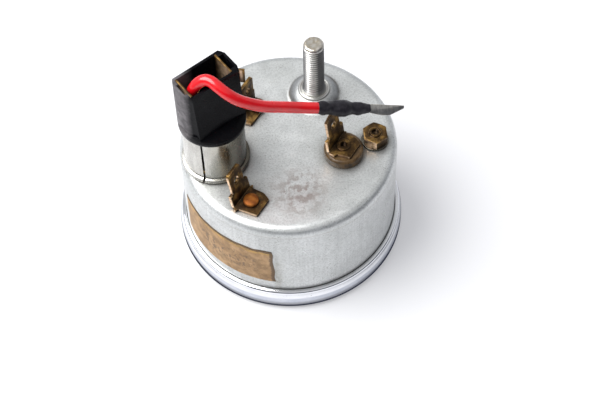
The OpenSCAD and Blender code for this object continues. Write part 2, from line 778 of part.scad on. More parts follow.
module sender_tab() {
    color("darkgoldenrod")
    terminal(sender_at, bush_top, sender_reach, sender_plate, sender_spade, sender_corner, eyelet_r);
}

module sender_bush() {
    color("saddlebrown")
    translate([sender_at[0], sender_at[1], 0]) difference() {
        union() {
            translate([0, 0, case_depth]) cylinder(r = bush_r, h = bush_h - bush_chamfer);
            translate([0, 0, bush_top - bush_chamfer])
                cylinder(r1 = bush_r, r2 = bush_r - bush_chamfer, h = bush_chamfer);
            translate([0, 0, case_back]) cylinder(r = bush_spigot_r, h = case_wall + eps);
        }
        translate([0, 0, case_back - eps]) cylinder(r = eyelet_r, h = case_wall + bush_h + 2 * eps);
    }
}

module inner_bush() {
    color("saddlebrown")
    translate([sender_at[0], sender_at[1], case_back - inner_bush_h]) tube(bush_r, eyelet_r, inner_bush_h);
}

module sender_rivet() {
    top = bush_top + tab_t;
    foot = case_back - inner_bush_h;
    color("darkkhaki")
    translate([sender_at[0], sender_at[1], 0]) difference() {
        union() {
            translate([0, 0, foot - rivet_foot_h]) cylinder(r = eyelet_r + 0.7, h = rivet_foot_h);
            translate([0, 0, foot - eps]) cylinder(r = eyelet_r, h = top - foot + 2 * eps);
            translate([0, 0, top]) cylinder(r = eyelet_head_r, h = eyelet_head_h);
        }
        translate([0, 0, top - 1.5]) cylinder(r = eyelet_r - 0.4, h = 3);
    }
}

// Lamp holder, turned so that local X runs along the cap's flat sides

module at_lamp() {
    translate([lamp_at[0], lamp_at[1], 0]) rotate([0, 0, lamp_turn]) children();
}

module lamp_sleeve() {
    color("silver")
    translate([lamp_at[0], lamp_at[1], case_depth - sleeve_in]) difference() {
        union() {
            tube(sleeve_r, sleeve_in_r, sleeve_in + sleeve_h);
            translate([0, 0, sleeve_in + bead_gap]) tube(sleeve_r + bead_out, sleeve_in_r, bead_h);
        }
        rotate([0, 0, slit_turn]) translate([sleeve_in_r - 1, -slit_w / 2, -1])
            cube([3, slit_w, sleeve_in + sleeve_h + 2]);
    }
}

// Outline of the black cap above its foot: flat sides, a flat back and a leaning flat front
module cap_trunk(extra) {
    h = cap_foot_h + cap_h + extra;
    wide = 3 * cap_foot_r;
    intersection() {
        cylinder(r = cap_foot_r, h = h);
        linear_extrude(h) polygon([[-cap_side, -0.8], [1 - cap_side, -cap_face],
            [0.9 - cap_side, -cap_foot_r], [cap_side - 0.8, -cap_foot_r], [cap_side - 0.6, -cap_face],
            [cap_side, -1.4], [cap_side, cap_back], [-cap_side, cap_back]]);
        translate([-wide / 2, -cap_face - cap_h * tan(cap_face_lean), 0]) rotate([-cap_face_lean, 0, 0])
            translate([0, 0, -h]) cube([wide, wide, 3 * h]);
    }
}

module lamp_cap() {
    well_x0 = strip_l_u - strip_t;
    well_x1 = strip_r_u + strip_t;
    well_y0 = -cap_face + cap_wall;
    well_y1 = cap_back - cap_wall;
    color("#1c1c1e")
    at_lamp() difference() {
        union() {
            translate([0, 0, cap_z - cap_spigot_h]) cylinder(r = sleeve_in_r, h = cap_spigot_h);
            translate([0, 0, cap_z]) cylinder(r = cap_foot_r, h = cap_foot_h);
            translate([0, 0, cap_z]) cap_trunk(0);
        }
        translate([well_x0, well_y0, well_z]) cube([well_x1 - well_x0, well_y1 - well_y0, cap_depth + 1]);
        translate([-cap_side + pocket_wall, 1 - pocket_l_w / 2, cap_top - pocket_depth])
            cube([cap_side - pocket_wall + well_x0 + eps, pocket_l_w, pocket_depth + 1]);
        translate([well_x1 - eps, 1 - pocket_r_w / 2, cap_top - pocket_depth])
            cube([cap_side - pocket_wall - well_x1, pocket_r_w, pocket_depth + 1]);
        translate([0, 0, cap_z - cap_spigot_h - 1])
            cylinder(r = plunger_r, h = well_z - cap_z + cap_spigot_h + 2);
    }
}

module contact_strip(u) {
    well_y0 = -cap_face + cap_wall;
    well_y1 = cap_back - cap_wall;
    color("darkgoldenrod")
    at_lamp() translate([u, well_y0, well_z]) cube([strip_t, well_y1 - well_y0, cap_depth + 0.2]);
}

module contact_strip_l() {
    contact_strip(strip_l_u - strip_t);
}

module contact_strip_r() {
    contact_strip(strip_r_u);
}

module contact_blade() {
    color("darkgoldenrod")
    at_lamp() difference() {
        translate([cap_side - 1, -cap_face + 0.9, cap_top - 4.8]) rotate([0, 0, -47]) cube([2.1, 0.5, 4.6]);
        translate([0, 0, cap_z]) cap_trunk(1);
    }
}

module contact_plunger() {
    color("darkgoldenrod")
    at_lamp() union() {
        translate([0, 0, plunger_z]) cylinder(r = plunger_r, h = well_z - plunger_z);
        translate([0, 0, well_z - eps]) cylinder(r = plunger_r - 0.4, h = 0.8);
    }
}

module bulb_socket() {
    color("darkgoldenrod")
    translate([lamp_at[0], lamp_at[1], bulb_z - 0.5]) union() {
        tube(socket_r + socket_wall, socket_r, bulb_cap_h + 1);
        translate([0, 0, bulb_cap_h]) tube(sleeve_in_r, socket_r, 1);
    }
}

module bulb_base() {
    color("goldenrod")
    translate([lamp_at[0], lamp_at[1], bulb_z]) union() {
        cylinder(r = bulb_r, h = bulb_cap_h);
        translate([0, 0, bulb_cap_h - eps]) cylinder(r = 1.3, h = 1);
    }
}

module bulb_glass() {
    neck = bulb_r - 0.6;
    color("lightyellow", 0.5)
    translate([lamp_at[0], lamp_at[1], bulb_z]) rotate_extrude() polygon(concat(
        [[0, 0], [neck, 0], [neck, -2]],
        [for (a = [0 : 15 : 90]) [globe_r * cos(a), -globe_h + globe_r - globe_r * sin(a)]]));
}

module solder_joint() {
    color("silver")
    at_lamp() translate([strip_l_u, -0.6, lead_route[0][2] - 2.4]) cube([1.6, 2.2, 2.4]);
}

// Lead

module lead_wire() {
    route = smooth_path(lead_route, lead_steps);
    color("red") tube_along(route, lead_d / 2, lead_sides, [0, 0, 1], unit(sleeve_dir));
}

module lead_sleeve() {
    r0 = lead_d / 2 + 0.1;
    r1 = shrink_d / 2;
    color("#333336")
    point_along(sleeve_start, sleeve_dir) rotate_extrude($fn = 32)
        polygon([[0, 0], [r0, 0], [r0 + 0.2, 1.5], [r1, sleeve_len * 0.45], [r1, sleeve_len * 0.6],
            [r0 + 0.15, sleeve_len * 0.8], [r0 - 0.3, sleeve_len], [0, sleeve_len]]);
}

module lead_blade() {
    color("darkkhaki")
    point_along(sleeve_stop, blade_dir) translate([-blade_t / 2, -blade_w / 2, 0.08]) union() {
        cube([blade_t, blade_w, blade_len - 0.8]);
        translate([0, 0.6, blade_len - 0.8 - eps]) cube([blade_t, blade_w - 1.2, 0.8]);
    }
}

case();
bezel();
glass();
gasket();
dial_ring();
dial();
dial_screw(dial_screw_x);  // dial_screw_a
dial_screw(-dial_screw_x);  // dial_screw_b
spacer(dial_screw_x);  // spacer_a
spacer(-dial_screw_x);  // spacer_b
front_plate();
back_plate();
pillar(pillars[0]);  // pillar_a
pillar(pillars[1]);  // pillar_b
pillar(pillars[2]);  // pillar_c
pillar(pillars[3]);  // pillar_d
pivot_post();
yoke(0);  // yoke_a
yoke(90);  // yoke_b
bobbin(0);  // bobbin_a
bobbin(90);  // bobbin_b
winding(0);  // winding_a
winding(90);  // winding_b
core(0);  // core_a
core(90);  // core_b
ballast_card();
pointer();
pointer_hub();
balance_weight();
spindle();
armature();
stud();
stud_collar();
back_screw();
nut_washer();
brass_nut();
label();
earth_tab();
earth_rivet();
battery_tab();
battery_rivet();
sender_tab();
sender_bush();
inner_bush();
sender_rivet();
lamp_sleeve();
lamp_cap();
contact_strip_l();
contact_strip_r();
contact_blade();
contact_plunger();
bulb_socket();
solder_joint();
lead_wire();
lead_sleeve();
lead_blade();
bulb_base();
bulb_glass();
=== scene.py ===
# %% [markdown]
# # Oil temperature gauge
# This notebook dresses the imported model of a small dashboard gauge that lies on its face: a plated steel
# cup with a stud, three spade terminals and a pull-out lamp holder on its back, and a chromed bezel
# underneath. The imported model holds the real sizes, so every new piece takes its place from it.

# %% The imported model
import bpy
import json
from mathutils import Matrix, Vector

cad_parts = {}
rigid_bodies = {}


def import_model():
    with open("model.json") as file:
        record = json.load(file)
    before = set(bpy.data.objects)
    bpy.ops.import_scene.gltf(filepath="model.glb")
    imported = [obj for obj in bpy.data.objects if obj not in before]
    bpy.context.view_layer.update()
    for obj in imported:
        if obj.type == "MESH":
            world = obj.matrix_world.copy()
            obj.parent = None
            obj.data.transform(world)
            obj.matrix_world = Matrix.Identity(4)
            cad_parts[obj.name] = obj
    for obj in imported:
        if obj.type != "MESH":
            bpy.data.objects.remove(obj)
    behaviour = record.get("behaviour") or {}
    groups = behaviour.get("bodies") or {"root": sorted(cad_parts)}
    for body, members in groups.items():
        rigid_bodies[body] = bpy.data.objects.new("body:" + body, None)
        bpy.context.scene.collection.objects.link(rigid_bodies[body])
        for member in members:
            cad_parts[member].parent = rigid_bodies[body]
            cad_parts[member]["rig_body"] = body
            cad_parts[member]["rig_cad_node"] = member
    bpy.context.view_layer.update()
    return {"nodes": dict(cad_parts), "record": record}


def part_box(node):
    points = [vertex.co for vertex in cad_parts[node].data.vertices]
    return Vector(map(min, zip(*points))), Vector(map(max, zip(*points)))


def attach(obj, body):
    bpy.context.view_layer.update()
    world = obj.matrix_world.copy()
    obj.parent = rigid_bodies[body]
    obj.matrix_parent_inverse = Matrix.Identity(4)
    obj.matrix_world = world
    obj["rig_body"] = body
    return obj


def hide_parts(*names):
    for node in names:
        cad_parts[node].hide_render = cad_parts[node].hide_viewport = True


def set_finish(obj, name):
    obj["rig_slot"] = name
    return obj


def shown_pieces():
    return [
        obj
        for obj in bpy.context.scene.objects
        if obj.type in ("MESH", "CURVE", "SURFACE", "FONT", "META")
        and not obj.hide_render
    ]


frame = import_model()
print("packed nodes:", len(frame["nodes"]))

# %% [markdown]
# ## Working in millimetres
# Blender works in metres and the gauge is 52 mm across, so the shapes are built in millimetres and
# scaled once, when a piece is finished. Small helpers read a node's box and put an object in the scene.

# %% Millimetres
import json
import math

import bmesh
import bpy
from mathutils import Matrix, Vector, noise
from mathutils.geometry import interpolate_bezier

MM = 0.001
ORIGIN = (0, 0, 0)
scene = bpy.context.scene


def box_mm(node):
    low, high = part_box(node)
    return low / MM, high / MM


def centre_mm(node):
    low, high = box_mm(node)
    return (low + high) / 2


def shown(name, data):
    """A new object in the scene."""
    obj = bpy.data.objects.new(name, data)
    scene.collection.objects.link(obj)
    return obj


slot_of = {row["node"]: row["material_slot"] for row in frame["record"]["subparts"]}
print("overall height:", round(box_mm("lead_wire")[1].z, 2), "mm")

# %% [markdown]
# ## Camera
# The photograph looks down on the gauge from the front at about 57 degrees. A fixed place and turn keep
# the small roll of the picture, which a camera aimed by a constraint would lose.

# %% Camera
VIEW_DOWN = math.radians(57.12)
VIEW_ROLL = math.radians(-1.86)
CAMERA_AT = Vector((2.354, -227.209, 357.161))

camera = shown("camera", bpy.data.cameras.new("camera"))
camera.data.lens = 100
camera.data.sensor_width = 36
camera.data.clip_start = 0.01
camera.location = CAMERA_AT * MM
aim = Matrix.Rotation(math.pi / 2 - VIEW_DOWN, 3, "X") @ Matrix.Rotation(VIEW_ROLL, 3, "Z")
camera.rotation_euler = aim.to_euler()
scene.camera = camera
print("camera distance:", round(CAMERA_AT.length), "mm")

# %% [markdown]
# ## Shaping tools
# Most pieces of a gauge are turned or cut from plate. So the main tools are an outline with rounded
# corners, a turned piece that spins such an outline, and a plate with holes. Each is a chain of bmesh
# operators, which are the same tools as in the editor.

# %% Outlines
TINY = 0.0005


def outline(points):
    """A flat face from corners (x, y) or (x, y, corner radius), rounded by a vertex bevel."""
    bm = bmesh.new()
    corners = [bm.verts.new((x, y, 0)) for x, y, *_ in points]
    bm.faces.new(corners)
    for corner, (_, _, *rounding) in zip(corners, points):
        for radius in rounding:
            bmesh.ops.bevel(bm, geom=[corner], offset=radius, offset_type="OFFSET", profile=0.5,
                            segments=max(3, round(radius * 6)), affect="VERTICES", material=-1)
    return bm


def shift(bm, x=0, y=0, z=0):
    bmesh.ops.translate(bm, vec=(x, y, z), verts=bm.verts[:])
    return bm


def over(bm, point):
    """Moves a piece that was made on the Z axis over a point, and keeps its height."""
    return shift(bm, point[0], point[1])


def turn(bm, degrees, axis="Z"):
    matrix = Matrix.Rotation(math.radians(degrees), 3, axis)
    bmesh.ops.rotate(bm, cent=ORIGIN, matrix=matrix, verts=bm.verts[:])
    return bm


def close_up(bm):
    """Merges doubles and turns every face outwards."""
    bmesh.ops.remove_doubles(bm, verts=bm.verts[:], dist=TINY)
    bmesh.ops.recalc_face_normals(bm, faces=bm.faces[:])
    return bm


def meshed(bm, name="held"):
    """A mesh of the bmesh, which is used up."""
    mesh = bpy.data.meshes.new(name)
    bm.to_mesh(mesh)
    bm.free()
    return mesh


def together(*parts):
    """Several bmeshes as one."""
    whole = bmesh.new()
    for part in parts:
        held = meshed(part)
        whole.from_mesh(held)
        bpy.data.meshes.remove(held)
    return whole


# %% Turned pieces
def everything(bm):
    return bm.verts[:] + bm.edges[:] + bm.faces[:]


def spun(bm, degrees, steps, rise=0, merge=False):
    """Spins everything about the Z axis, and lifts it by the rise at each step."""
    bmesh.ops.spin(bm, geom=everything(bm), cent=ORIGIN, axis=(0, 0, 1), dvec=(0, 0, rise),
                   angle=math.radians(degrees), steps=steps, use_merge=merge)
    return bm


def turned(points, steps=96, about=ORIGIN, sweep=360):
    """Spins an outline of (radius, height, corner radius) about the vertical through a point."""
    bm = outline(points)
    bmesh.ops.delete(bm, geom=bm.faces[:], context="FACES_ONLY")
    axis_edges = [e for e in bm.edges if all(abs(v.co.x) < TINY for v in e.verts)]
    bmesh.ops.delete(bm, geom=axis_edges, context="EDGES")
    spun(turn(bm, 90, "X"), sweep, steps, merge=sweep == 360)
    if sweep != 360:
        bmesh.ops.holes_fill(bm, edges=[e for e in bm.edges if e.is_boundary], sides=0)
    return over(close_up(bm), about)


# %% Plates
def soften(bm, width, segments=2, sharper_than=30):
    """Rounds the edges that are sharper than an angle, as tumbling or handling does."""
    limit = math.radians(sharper_than)
    edges = [e for e in bm.edges if e.is_manifold and e.calc_face_angle(0) > limit]
    bmesh.ops.bevel(bm, geom=edges, offset=width, offset_type="OFFSET", segments=segments, profile=0.5,
                    affect="EDGES", clamp_overlap=True, material=-1)
    return bm


def plate(points, thickness, holes=()):
    """A plate of an outline, with round holes (x, y, radius)."""
    bm = outline(points)
    bmesh.ops.delete(bm, geom=bm.faces[:], context="FACES_ONLY")
    for x, y, radius in holes:
        bmesh.ops.create_circle(bm, segments=32, radius=radius, matrix=Matrix.Translation((x, y, 0)))
    bmesh.ops.triangle_fill(bm, edges=bm.edges[:], use_beauty=True, normal=(0, 0, 1))
    raised = bmesh.ops.extrude_face_region(bm, geom=bm.faces[:])
    top = [v for v in raised["geom"] if isinstance(v, bmesh.types.BMVert)]
    bmesh.ops.translate(bm, vec=(0, 0, thickness), verts=top)
    bmesh.ops.dissolve_limit(bm, angle_limit=0.01, verts=bm.verts[:], edges=bm.edges[:])
    return close_up(bm)


def bar(size, at, edge):
    """A bar of that size, centred at a point, with rounded edges."""
    bm = bmesh.new()
    bmesh.ops.create_cube(bm, size=1)
    bmesh.ops.scale(bm, vec=size, verts=bm.verts[:])
    soften(bm, edge)
    return shift(bm, *at)


# %% [markdown]
# More tools save work: two cut a shape, with a plane or with another shape, and one starts from a copy
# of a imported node's mesh, for a piece that only needs its edges rounded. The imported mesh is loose
# triangles, so the copy is merged first.

# %% Cutting and carrying over
def sliced(bm, point, normal, clear=False):
    """Cuts across with a plane, clears what lies beyond it if asked to, and gives the edges of the cut."""
    cut = bmesh.ops.bisect_plane(bm, geom=everything(bm), dist=TINY, plane_co=point, plane_no=normal,
                                 clear_outer=clear)
    return [e for e in cut["geom_cut"] if isinstance(e, bmesh.types.BMEdge)]


def carved(bm, cutter, operation="DIFFERENCE"):
    """bm cut by another bmesh with a Boolean, applied."""
    made = [shown("held", meshed(part)) for part in (bm, cutter)]
    cut = made[0].modifiers.new("cut", "BOOLEAN")
    cut.object = made[1]
    cut.operation = operation
    cut.solver = "EXACT"
    result = bmesh.new()
    result.from_object(made[0], bpy.context.evaluated_depsgraph_get())
    for obj in made:
        held = obj.data
        bpy.data.objects.remove(obj)
        bpy.data.meshes.remove(held)
    return close_up(result)


def carried(node, flat=1.0):
    """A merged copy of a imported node's mesh in millimetres, its flat faces made whole again."""
    bm = bmesh.new()
    bm.from_mesh(frame["nodes"][node].data)
    bmesh.ops.scale(bm, vec=(1 / MM,) * 3, verts=bm.verts[:])
    close_up(bm)
    bmesh.ops.dissolve_limit(bm, angle_limit=math.radians(flat), verts=bm.verts[:], edges=bm.edges[:])
    return bm


def roughen(bm, size, amount, seed=0.0):
    """Moves the points in and out a little along their normals, with a smooth noise of that size."""
    offset = Vector((seed, seed * 2.3, seed * 5.1))
    bm.normal_update()
    for v in bm.verts:
        v.co += v.normal * noise.noise(v.co / size + offset) * amount
    return bm


# %% [markdown]
# A finished piece takes its name, rides on the body of the node that it stands for, and takes the same
# material slot. Smooth shading with sharp edges from an angle shows turned parts without facets.

# %% Finishing a piece
def piece(bm, name, *nodes, crease=35):
    """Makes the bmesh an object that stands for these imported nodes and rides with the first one's body."""
    bmesh.ops.scale(bm, vec=(MM,) * 3, verts=bm.verts[:])
    open_edges = sum(not e.is_manifold for e in bm.edges)
    mesh = meshed(bm, name)
    mesh.polygons.foreach_set("use_smooth", [True] * len(mesh.polygons))
    mesh.set_sharp_from_angle(angle=math.radians(crease))
    obj = shown(name, mesh)
    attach(obj, frame["nodes"][nodes[0]]["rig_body"])
    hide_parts(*nodes)
    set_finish(obj, slot_of[nodes[0]])
    print(f"{name}: {len(mesh.polygons)} faces, {open_edges} open edges")
    return obj


# %% [markdown]
# ## The red lead
# The lead is a short PVC wire that comes up out of the lamp holder, turns over its rim and runs down to
# the right. A curve is the right tool: it keeps one line down the middle, and its bevel is the
# insulation. Each point carries the wire's radius, because a curve's box grows by its points' radius.

# %% The lead's route
LEAD_D = 2.7
LEAD_ROUTE = [(-20.8, -6.0, 59.4), (-20.7, -6.2, 61.0), (-20.1, -6.2, 62.4), (-19.3, -6.0, 63.5),
              (-17.9, -6.0, 64.6), (-16.4, -6.6, 64.9), (-14.9, -7.8, 64.5), (-13.3, -8.8, 63.6),
              (-11.6, -9.3, 62.3), (-9.9, -9.4, 61.0), (-7.5, -9.0, 59.2), (-4.7, -8.1, 57.0),
              (-0.4, -6.2, 53.9), (3.0, -4.8, 51.6), (6.9, -3.6, 49.6)]
SLEEVE_ENDS = (Vector((6.9, -3.6, 49.6)), Vector((19.0, -1.1, 45.3)))
BLADE_TIP = Vector((27.2, 0.2, 42.4))


def lead_curve(points):
    """A curve object through the points and its length in metres."""
    curve = bpy.data.curves.new("lead_wire_pvc", "CURVE")
    curve.dimensions = "3D"
    curve.bevel_depth = 1
    curve.bevel_resolution = 8
    curve.resolution_u = 8
    curve.use_fill_caps = True
    line = curve.splines.new("BEZIER")
    line.bezier_points.add(len(points) - 1)
    knots = line.bezier_points
    points = [Vector(p) * MM for p in points]
    last = len(points) - 1
    for i, (knot, p) in enumerate(zip(knots, points)):
        along = (points[min(i + 1, last)] - points[max(i - 1, 0)]) / 6
        knot.handle_left_type = knot.handle_right_type = "FREE"
        knot.co, knot.handle_left, knot.handle_right = p, p - along, p + along
        knot.radius = LEAD_D / 2 * MM
    samples = []
    for a, b in zip(knots, knots[1:]):
        samples += interpolate_bezier(a.co, a.handle_right, b.handle_left, b.co, 24)
    length = sum((q - p).length for p, q in zip(samples, samples[1:]))
    return shown("lead_wire_pvc", curve), length


lead, lead_length = lead_curve(LEAD_ROUTE)
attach(lead, "lamp_holder")
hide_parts("lead_wire")
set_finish(lead, slot_of["lead_wire"])
print("lead length:", round(lead_length / MM, 1), "mm")

# %% [markdown]
# Black tape covers the joint between the wire and its blade. It is turned from an uneven outline,
# roughened, and laid along the line between its two ends. The blade is a flat tinned strip with its
# corners cut, and its flat side is turned up to the front.

# %% The sleeve and the blade of the lead
def laid(bm, start, lie):
    """Lays a piece that was made at the origin at a point, turned by a 3 x 3 matrix."""
    bmesh.ops.transform(bm, matrix=Matrix.Translation(start) @ lie.to_4x4(), verts=bm.verts[:])
    return bm


def lead_cover():
    start, stop = SLEEVE_ENDS
    end = (stop - start).length - 0.05
    bm = turned([(0, 0.05), (1.38, 0.05, 0.1), (1.68, 1.6, 0.5), (1.48, 3.2, 0.5), (1.98, 5.4, 0.8),
                 (1.97, 7.0, 0.6), (1.42, 8.6, 0.4), (1.58, 10.4, 0.5), (1.15, 12.3, 0.3), (1.1, end, 0.1),
                 (0, end)], 48)
    long_edges = [e for e in bm.edges if e.calc_length() > 0.6]
    bmesh.ops.subdivide_edges(bm, edges=long_edges, cuts=3, use_grid_fill=True)
    roughen(bm, 1.1, 0.16, 3)
    return laid(bm, start, (stop - start).to_track_quat("Z", "Y").to_matrix())


def lead_strip():
    """A slanted strip with a straight upper edge and a lower edge that rises to the tip."""
    start = SLEEVE_ENDS[1]
    along = (BLADE_TIP - start).normalized()
    length = (BLADE_TIP - start).length
    bm = plate([(-1.0, -1.0), (0.75, -1.0), (1.35, 2.6, 0.6), (1.35, 5.2, 0.5), (-0.45, length - 0.05, 0.12),
                (-1.1, length - 0.15, 0.12)], 0.5)
    shift(bm, 0, 0, -0.25)
    soften(bm, 0.08)
    flat_side = (CAMERA_AT - start).normalized()
    flat_side = (flat_side - flat_side.dot(along) * along).normalized()
    return laid(bm, start, Matrix((along.cross(flat_side), along, flat_side)).transposed())


lead_sleeve = piece(lead_cover(), "lead_tape_sleeve", "lead_sleeve", crease=60)
lead_blade = piece(lead_strip(), "lead_flat_blade", "lead_blade")

# %% [markdown]
# ## The steel cup
# The case is deep-drawn from sheet: a flat back, a rounded shoulder, a straight side and a small flange
# in front, where the bezel grips it. A ring of points just inside the shoulder keeps the back's shading
# flat, and the lamp holder's hole is cut last.

# %% Steel cup
CASE_R = 26.0
CASE_TOP = 32.0
SHEET = 0.8
SHOULDER = 2.2
FLANGE_R = box_mm("case")[1].x
FLANGE_Z = box_mm("case")[0].z
LAMP = centre_mm("bulb_base")
STUD = centre_mm("stud")
HOLE_R = 7.41


def steel_cup():
    inside = CASE_R - SHEET
    under = CASE_TOP - SHEET
    rim = FLANGE_Z + SHEET
    bent = SHOULDER + 0.3
    bm = turned([(inside, FLANGE_Z), (FLANGE_R, FLANGE_Z, 0.15), (FLANGE_R, rim, 0.2), (CASE_R, rim, 0.3),
                 (CASE_R, CASE_TOP - bent), (CASE_R, CASE_TOP, SHOULDER), (CASE_R - bent, CASE_TOP),
                 (0, CASE_TOP), (0, under), (inside, under, SHOULDER - SHEET)], 192)
    return carved(bm, turned([(0, 24), (HOLE_R, 24), (HOLE_R, 36), (0, 36)], 96, LAMP))


def stud_boss():
    """The pressed boss at the stud's foot, with a small fillet onto the back."""
    top = CASE_TOP + 2
    return turned([(2.72, CASE_TOP - 0.5), (6.7, CASE_TOP - 0.5), (6.7, CASE_TOP + 0.02),
                   (6.05, CASE_TOP + 0.12, 0.4), (5.5, CASE_TOP + 0.95, 0.4), (4.35, CASE_TOP + 1.85, 0.5),
                   (3.9, top, 0.3), (2.72, top)], 96, STUD)


piece(together(steel_cup(), stud_boss()), "steel_cup", "case")

# %% [markdown]
# ## The bezel
# The bezel is a brass ring, rolled over the flange and chromed. Its outline has the rolled lip behind, a
# shallow waist, the broad band with its soft shoulder and the rounded front edge that leads in to the
# glass.

# %% Bezel
BEZEL_R = box_mm("bezel")[1].x
BEZEL_H = box_mm("bezel")[1].z


def rolled_bezel():
    lip_in = CASE_R + 0.12
    grip = FLANGE_R + 0.1
    seat = box_mm("glass")[0].z
    return turned([(22.9, seat), (22.9, seat - 0.55, 0.2), (25.4, 0, 0.9), (BEZEL_R, 0, 1.5), (BEZEL_R, 2.9),
                   (BEZEL_R - 0.1, 4.1, 0.95), (27.3, 4.85, 0.2), (27.26, 5.3, 0.2), (27.3, BEZEL_H, 0.7),
                   (lip_in, BEZEL_H, 0.15), (lip_in, FLANGE_Z + SHEET), (grip, FLANGE_Z + SHEET),
                   (grip, seat)], 192)


piece(rolled_bezel(), "chromed_bezel", "bezel")

# %% [markdown]
# ## The label
# A paper label is glued round the left of the side. A flat grid is bent round the cup by moving its
# points, which is how the paper itself lies, and its edges are made a little uneven. Its own UV map
# keeps the print and the worn edges square to the paper.

# %% Label
LABEL_FROM = math.radians(199)
LABEL_TO = math.radians(261)
LABEL_SLANT = math.radians(1.5)


def paper_label():
    low, high = box_mm("label")
    bm = bmesh.new()
    bm.loops.layers.uv.new("paper")
    bmesh.ops.create_grid(bm, x_segments=90, y_segments=24, size=0.5, calc_uvs=True)
    for v in bm.verts:
        across, up = v.co.x + 0.5, v.co.y + 0.5
        angle = LABEL_FROM + (LABEL_TO - LABEL_SLANT * up - LABEL_FROM) * across
        uneven = 0.35 * noise.noise(Vector((across * 9, up * 2, 4)))
        height = low.z + 0.15 + (high.z - low.z - 0.3) * up
        height += uneven * up * min(1, 6 * (1 - across) + 0.2)
        angle += 0.012 * noise.noise(Vector((up * 4, across, 9))) * abs(2 * across - 1)
        lift = 0.03 + 0.03 * max(0, noise.noise(Vector((across * 6, up * 3, 1))))
        radius = CASE_R + lift
        v.co = Vector((radius * math.cos(angle), radius * math.sin(angle), min(height, high.z)))
    bmesh.ops.recalc_face_normals(bm, faces=bm.faces[:])
    if sum(f.normal.dot(f.calc_center_median()) for f in bm.faces) < 0:
        bmesh.ops.reverse_faces(bm, faces=bm.faces[:])
    bmesh.ops.solidify(bm, geom=bm.faces[:], thickness=-0.09)
    return bm


piece(paper_label(), "paper_label", "label", crease=70)

# %% [markdown]
# ## The stud
# The stud clamps the gauge in the dashboard. A screw thread is a V profile swept up a helix, and a spin
# does that when it is given a rise for each step. The turns are merged where they meet, the ends are cut
# off square, and a turned end closes them.

# %% Thread tool
def thread(crest, root, pitch, low, high, steps=36):
    """A helical thread from the height low to high, with its two ends cut square."""
    turns = math.ceil((high - low) / pitch) + 1
    bm = bmesh.new()
    flat = pitch / 8
    profile = ((root, 0), (root, flat), (crest, pitch / 2 - flat), (crest, pitch / 2 + flat), (root, pitch))
    line = [bm.verts.new((r, 0, z)) for r, z in profile]
    for a, b in zip(line, line[1:]):
        bm.edges.new((a, b))
    spun(bm, 360 * turns, steps * turns, pitch / steps)
    bmesh.ops.remove_doubles(bm, verts=bm.verts[:], dist=4 * TINY)
    shift(bm, z=low - pitch)
    for height, outward in ((low, -1), (high, 1)):
        rim = sliced(bm, (0, 0, height), (0, 0, outward), clear=True)
        bmesh.ops.holes_fill(bm, edges=rim, sides=0)
    return close_up(bm)


# %% Stud and collar
# The heads of the stud and the screw end at this height, inside the case.
HEADS_END = 30.0
SHANK_TOP = 35.1
STUD_PITCH = 0.8


def stud_body():
    low, high = box_mm("stud")
    cut = thread(2.5, 2.12, STUD_PITCH, SHANK_TOP, high.z - 0.55)
    shank = turned([(0, low.z), (3.6, low.z, 0.2), (3.6, HEADS_END, 0.2), (2.69, HEADS_END),
                    (2.69, SHANK_TOP - 0.15, 0.15), (2.3, SHANK_TOP + 0.1, 0.1), (0, SHANK_TOP + 0.1)], 64)
    end = turned([(0, high.z - 0.8), (2.15, high.z - 0.8), (2.42, high.z - 0.55, 0.1),
                  (2.0, high.z - 0.05, 0.25), (0.9, high.z - 0.12, 0.3), (0, high.z - 0.1)], 64)
    roughen(end, 0.7, 0.05, 7)
    burr = bmesh.new()
    bmesh.ops.create_icosphere(burr, subdivisions=2, radius=0.22)
    shift(burr, -0.5, 1.75, high.z - 0.25)
    return over(together(cut, shank, end, burr), STUD)


def stud_ring():
    low, high = box_mm("stud_collar")
    edge = high.x - STUD.x
    lip, dish = low.z + 0.45, low.z + 0.1
    return turned([(2.71, low.z), (edge, low.z, 0.05), (edge, lip, 0.12), (edge - 0.42, lip, 0.1),
                   (edge - 0.48, dish, 0.06), (2.98, dish, 0.06), (2.92, high.z, 0.12),
                   (2.71, high.z, 0.04)], 96, STUD)


piece(stud_body(), "threaded_stud", "stud")
piece(stud_ring(), "stud_ring", "stud_collar")

# %% [markdown]
# ## Nut, washer and screw end
# The nut is a hexagon bar with its corners turned off. A six-sided prism cut with a turned cone has the
# curved corner lines that every nut shows. The screw's end is hollow and burred over the nut.

# %% Nut, washer and screw end
SCREW = centre_mm("nut_washer")
NUT_FLATS = 5.5
NUT_TURN = 34


def hex_nut():
    low, high = box_mm("brass_nut")
    corner = NUT_FLATS / 2 / math.cos(math.pi / 6)
    bm = bmesh.new()
    bmesh.ops.create_cone(bm, cap_ends=True, segments=6, radius1=corner, radius2=corner, depth=high.z - low.z)
    shift(turn(bm, 30), z=(low.z + high.z) / 2)
    soften(bm, 0.07)
    shape = turned([(1.55, low.z - 1), (4, low.z - 1), (4, high.z - 0.6), (2.6, high.z, 0.1), (1.55, high.z)])
    return over(turn(carved(bm, shape, "INTERSECT"), NUT_TURN), SCREW)


def screw_end():
    low, high = box_mm("back_screw")
    bm = turned([(0, low.z), (2.6, low.z, 0.3), (2.6, HEADS_END, 0.1), (1.49, HEADS_END),
                 (1.49, high.z - 0.2, 0.15), (1.25, high.z, 0.1), (0.8, high.z - 0.1, 0.12),
                 (0.6, high.z - 0.9, 0.15), (0, high.z - 1)], 48)
    for v in bm.verts:
        if v.co.z > high.z - 0.5:
            v.co.z -= 0.16 * max(0, noise.noise(v.co * 1.3))
            v.co.x += 0.1 * noise.noise(v.co * 1.1)
    return over(bm, SCREW)


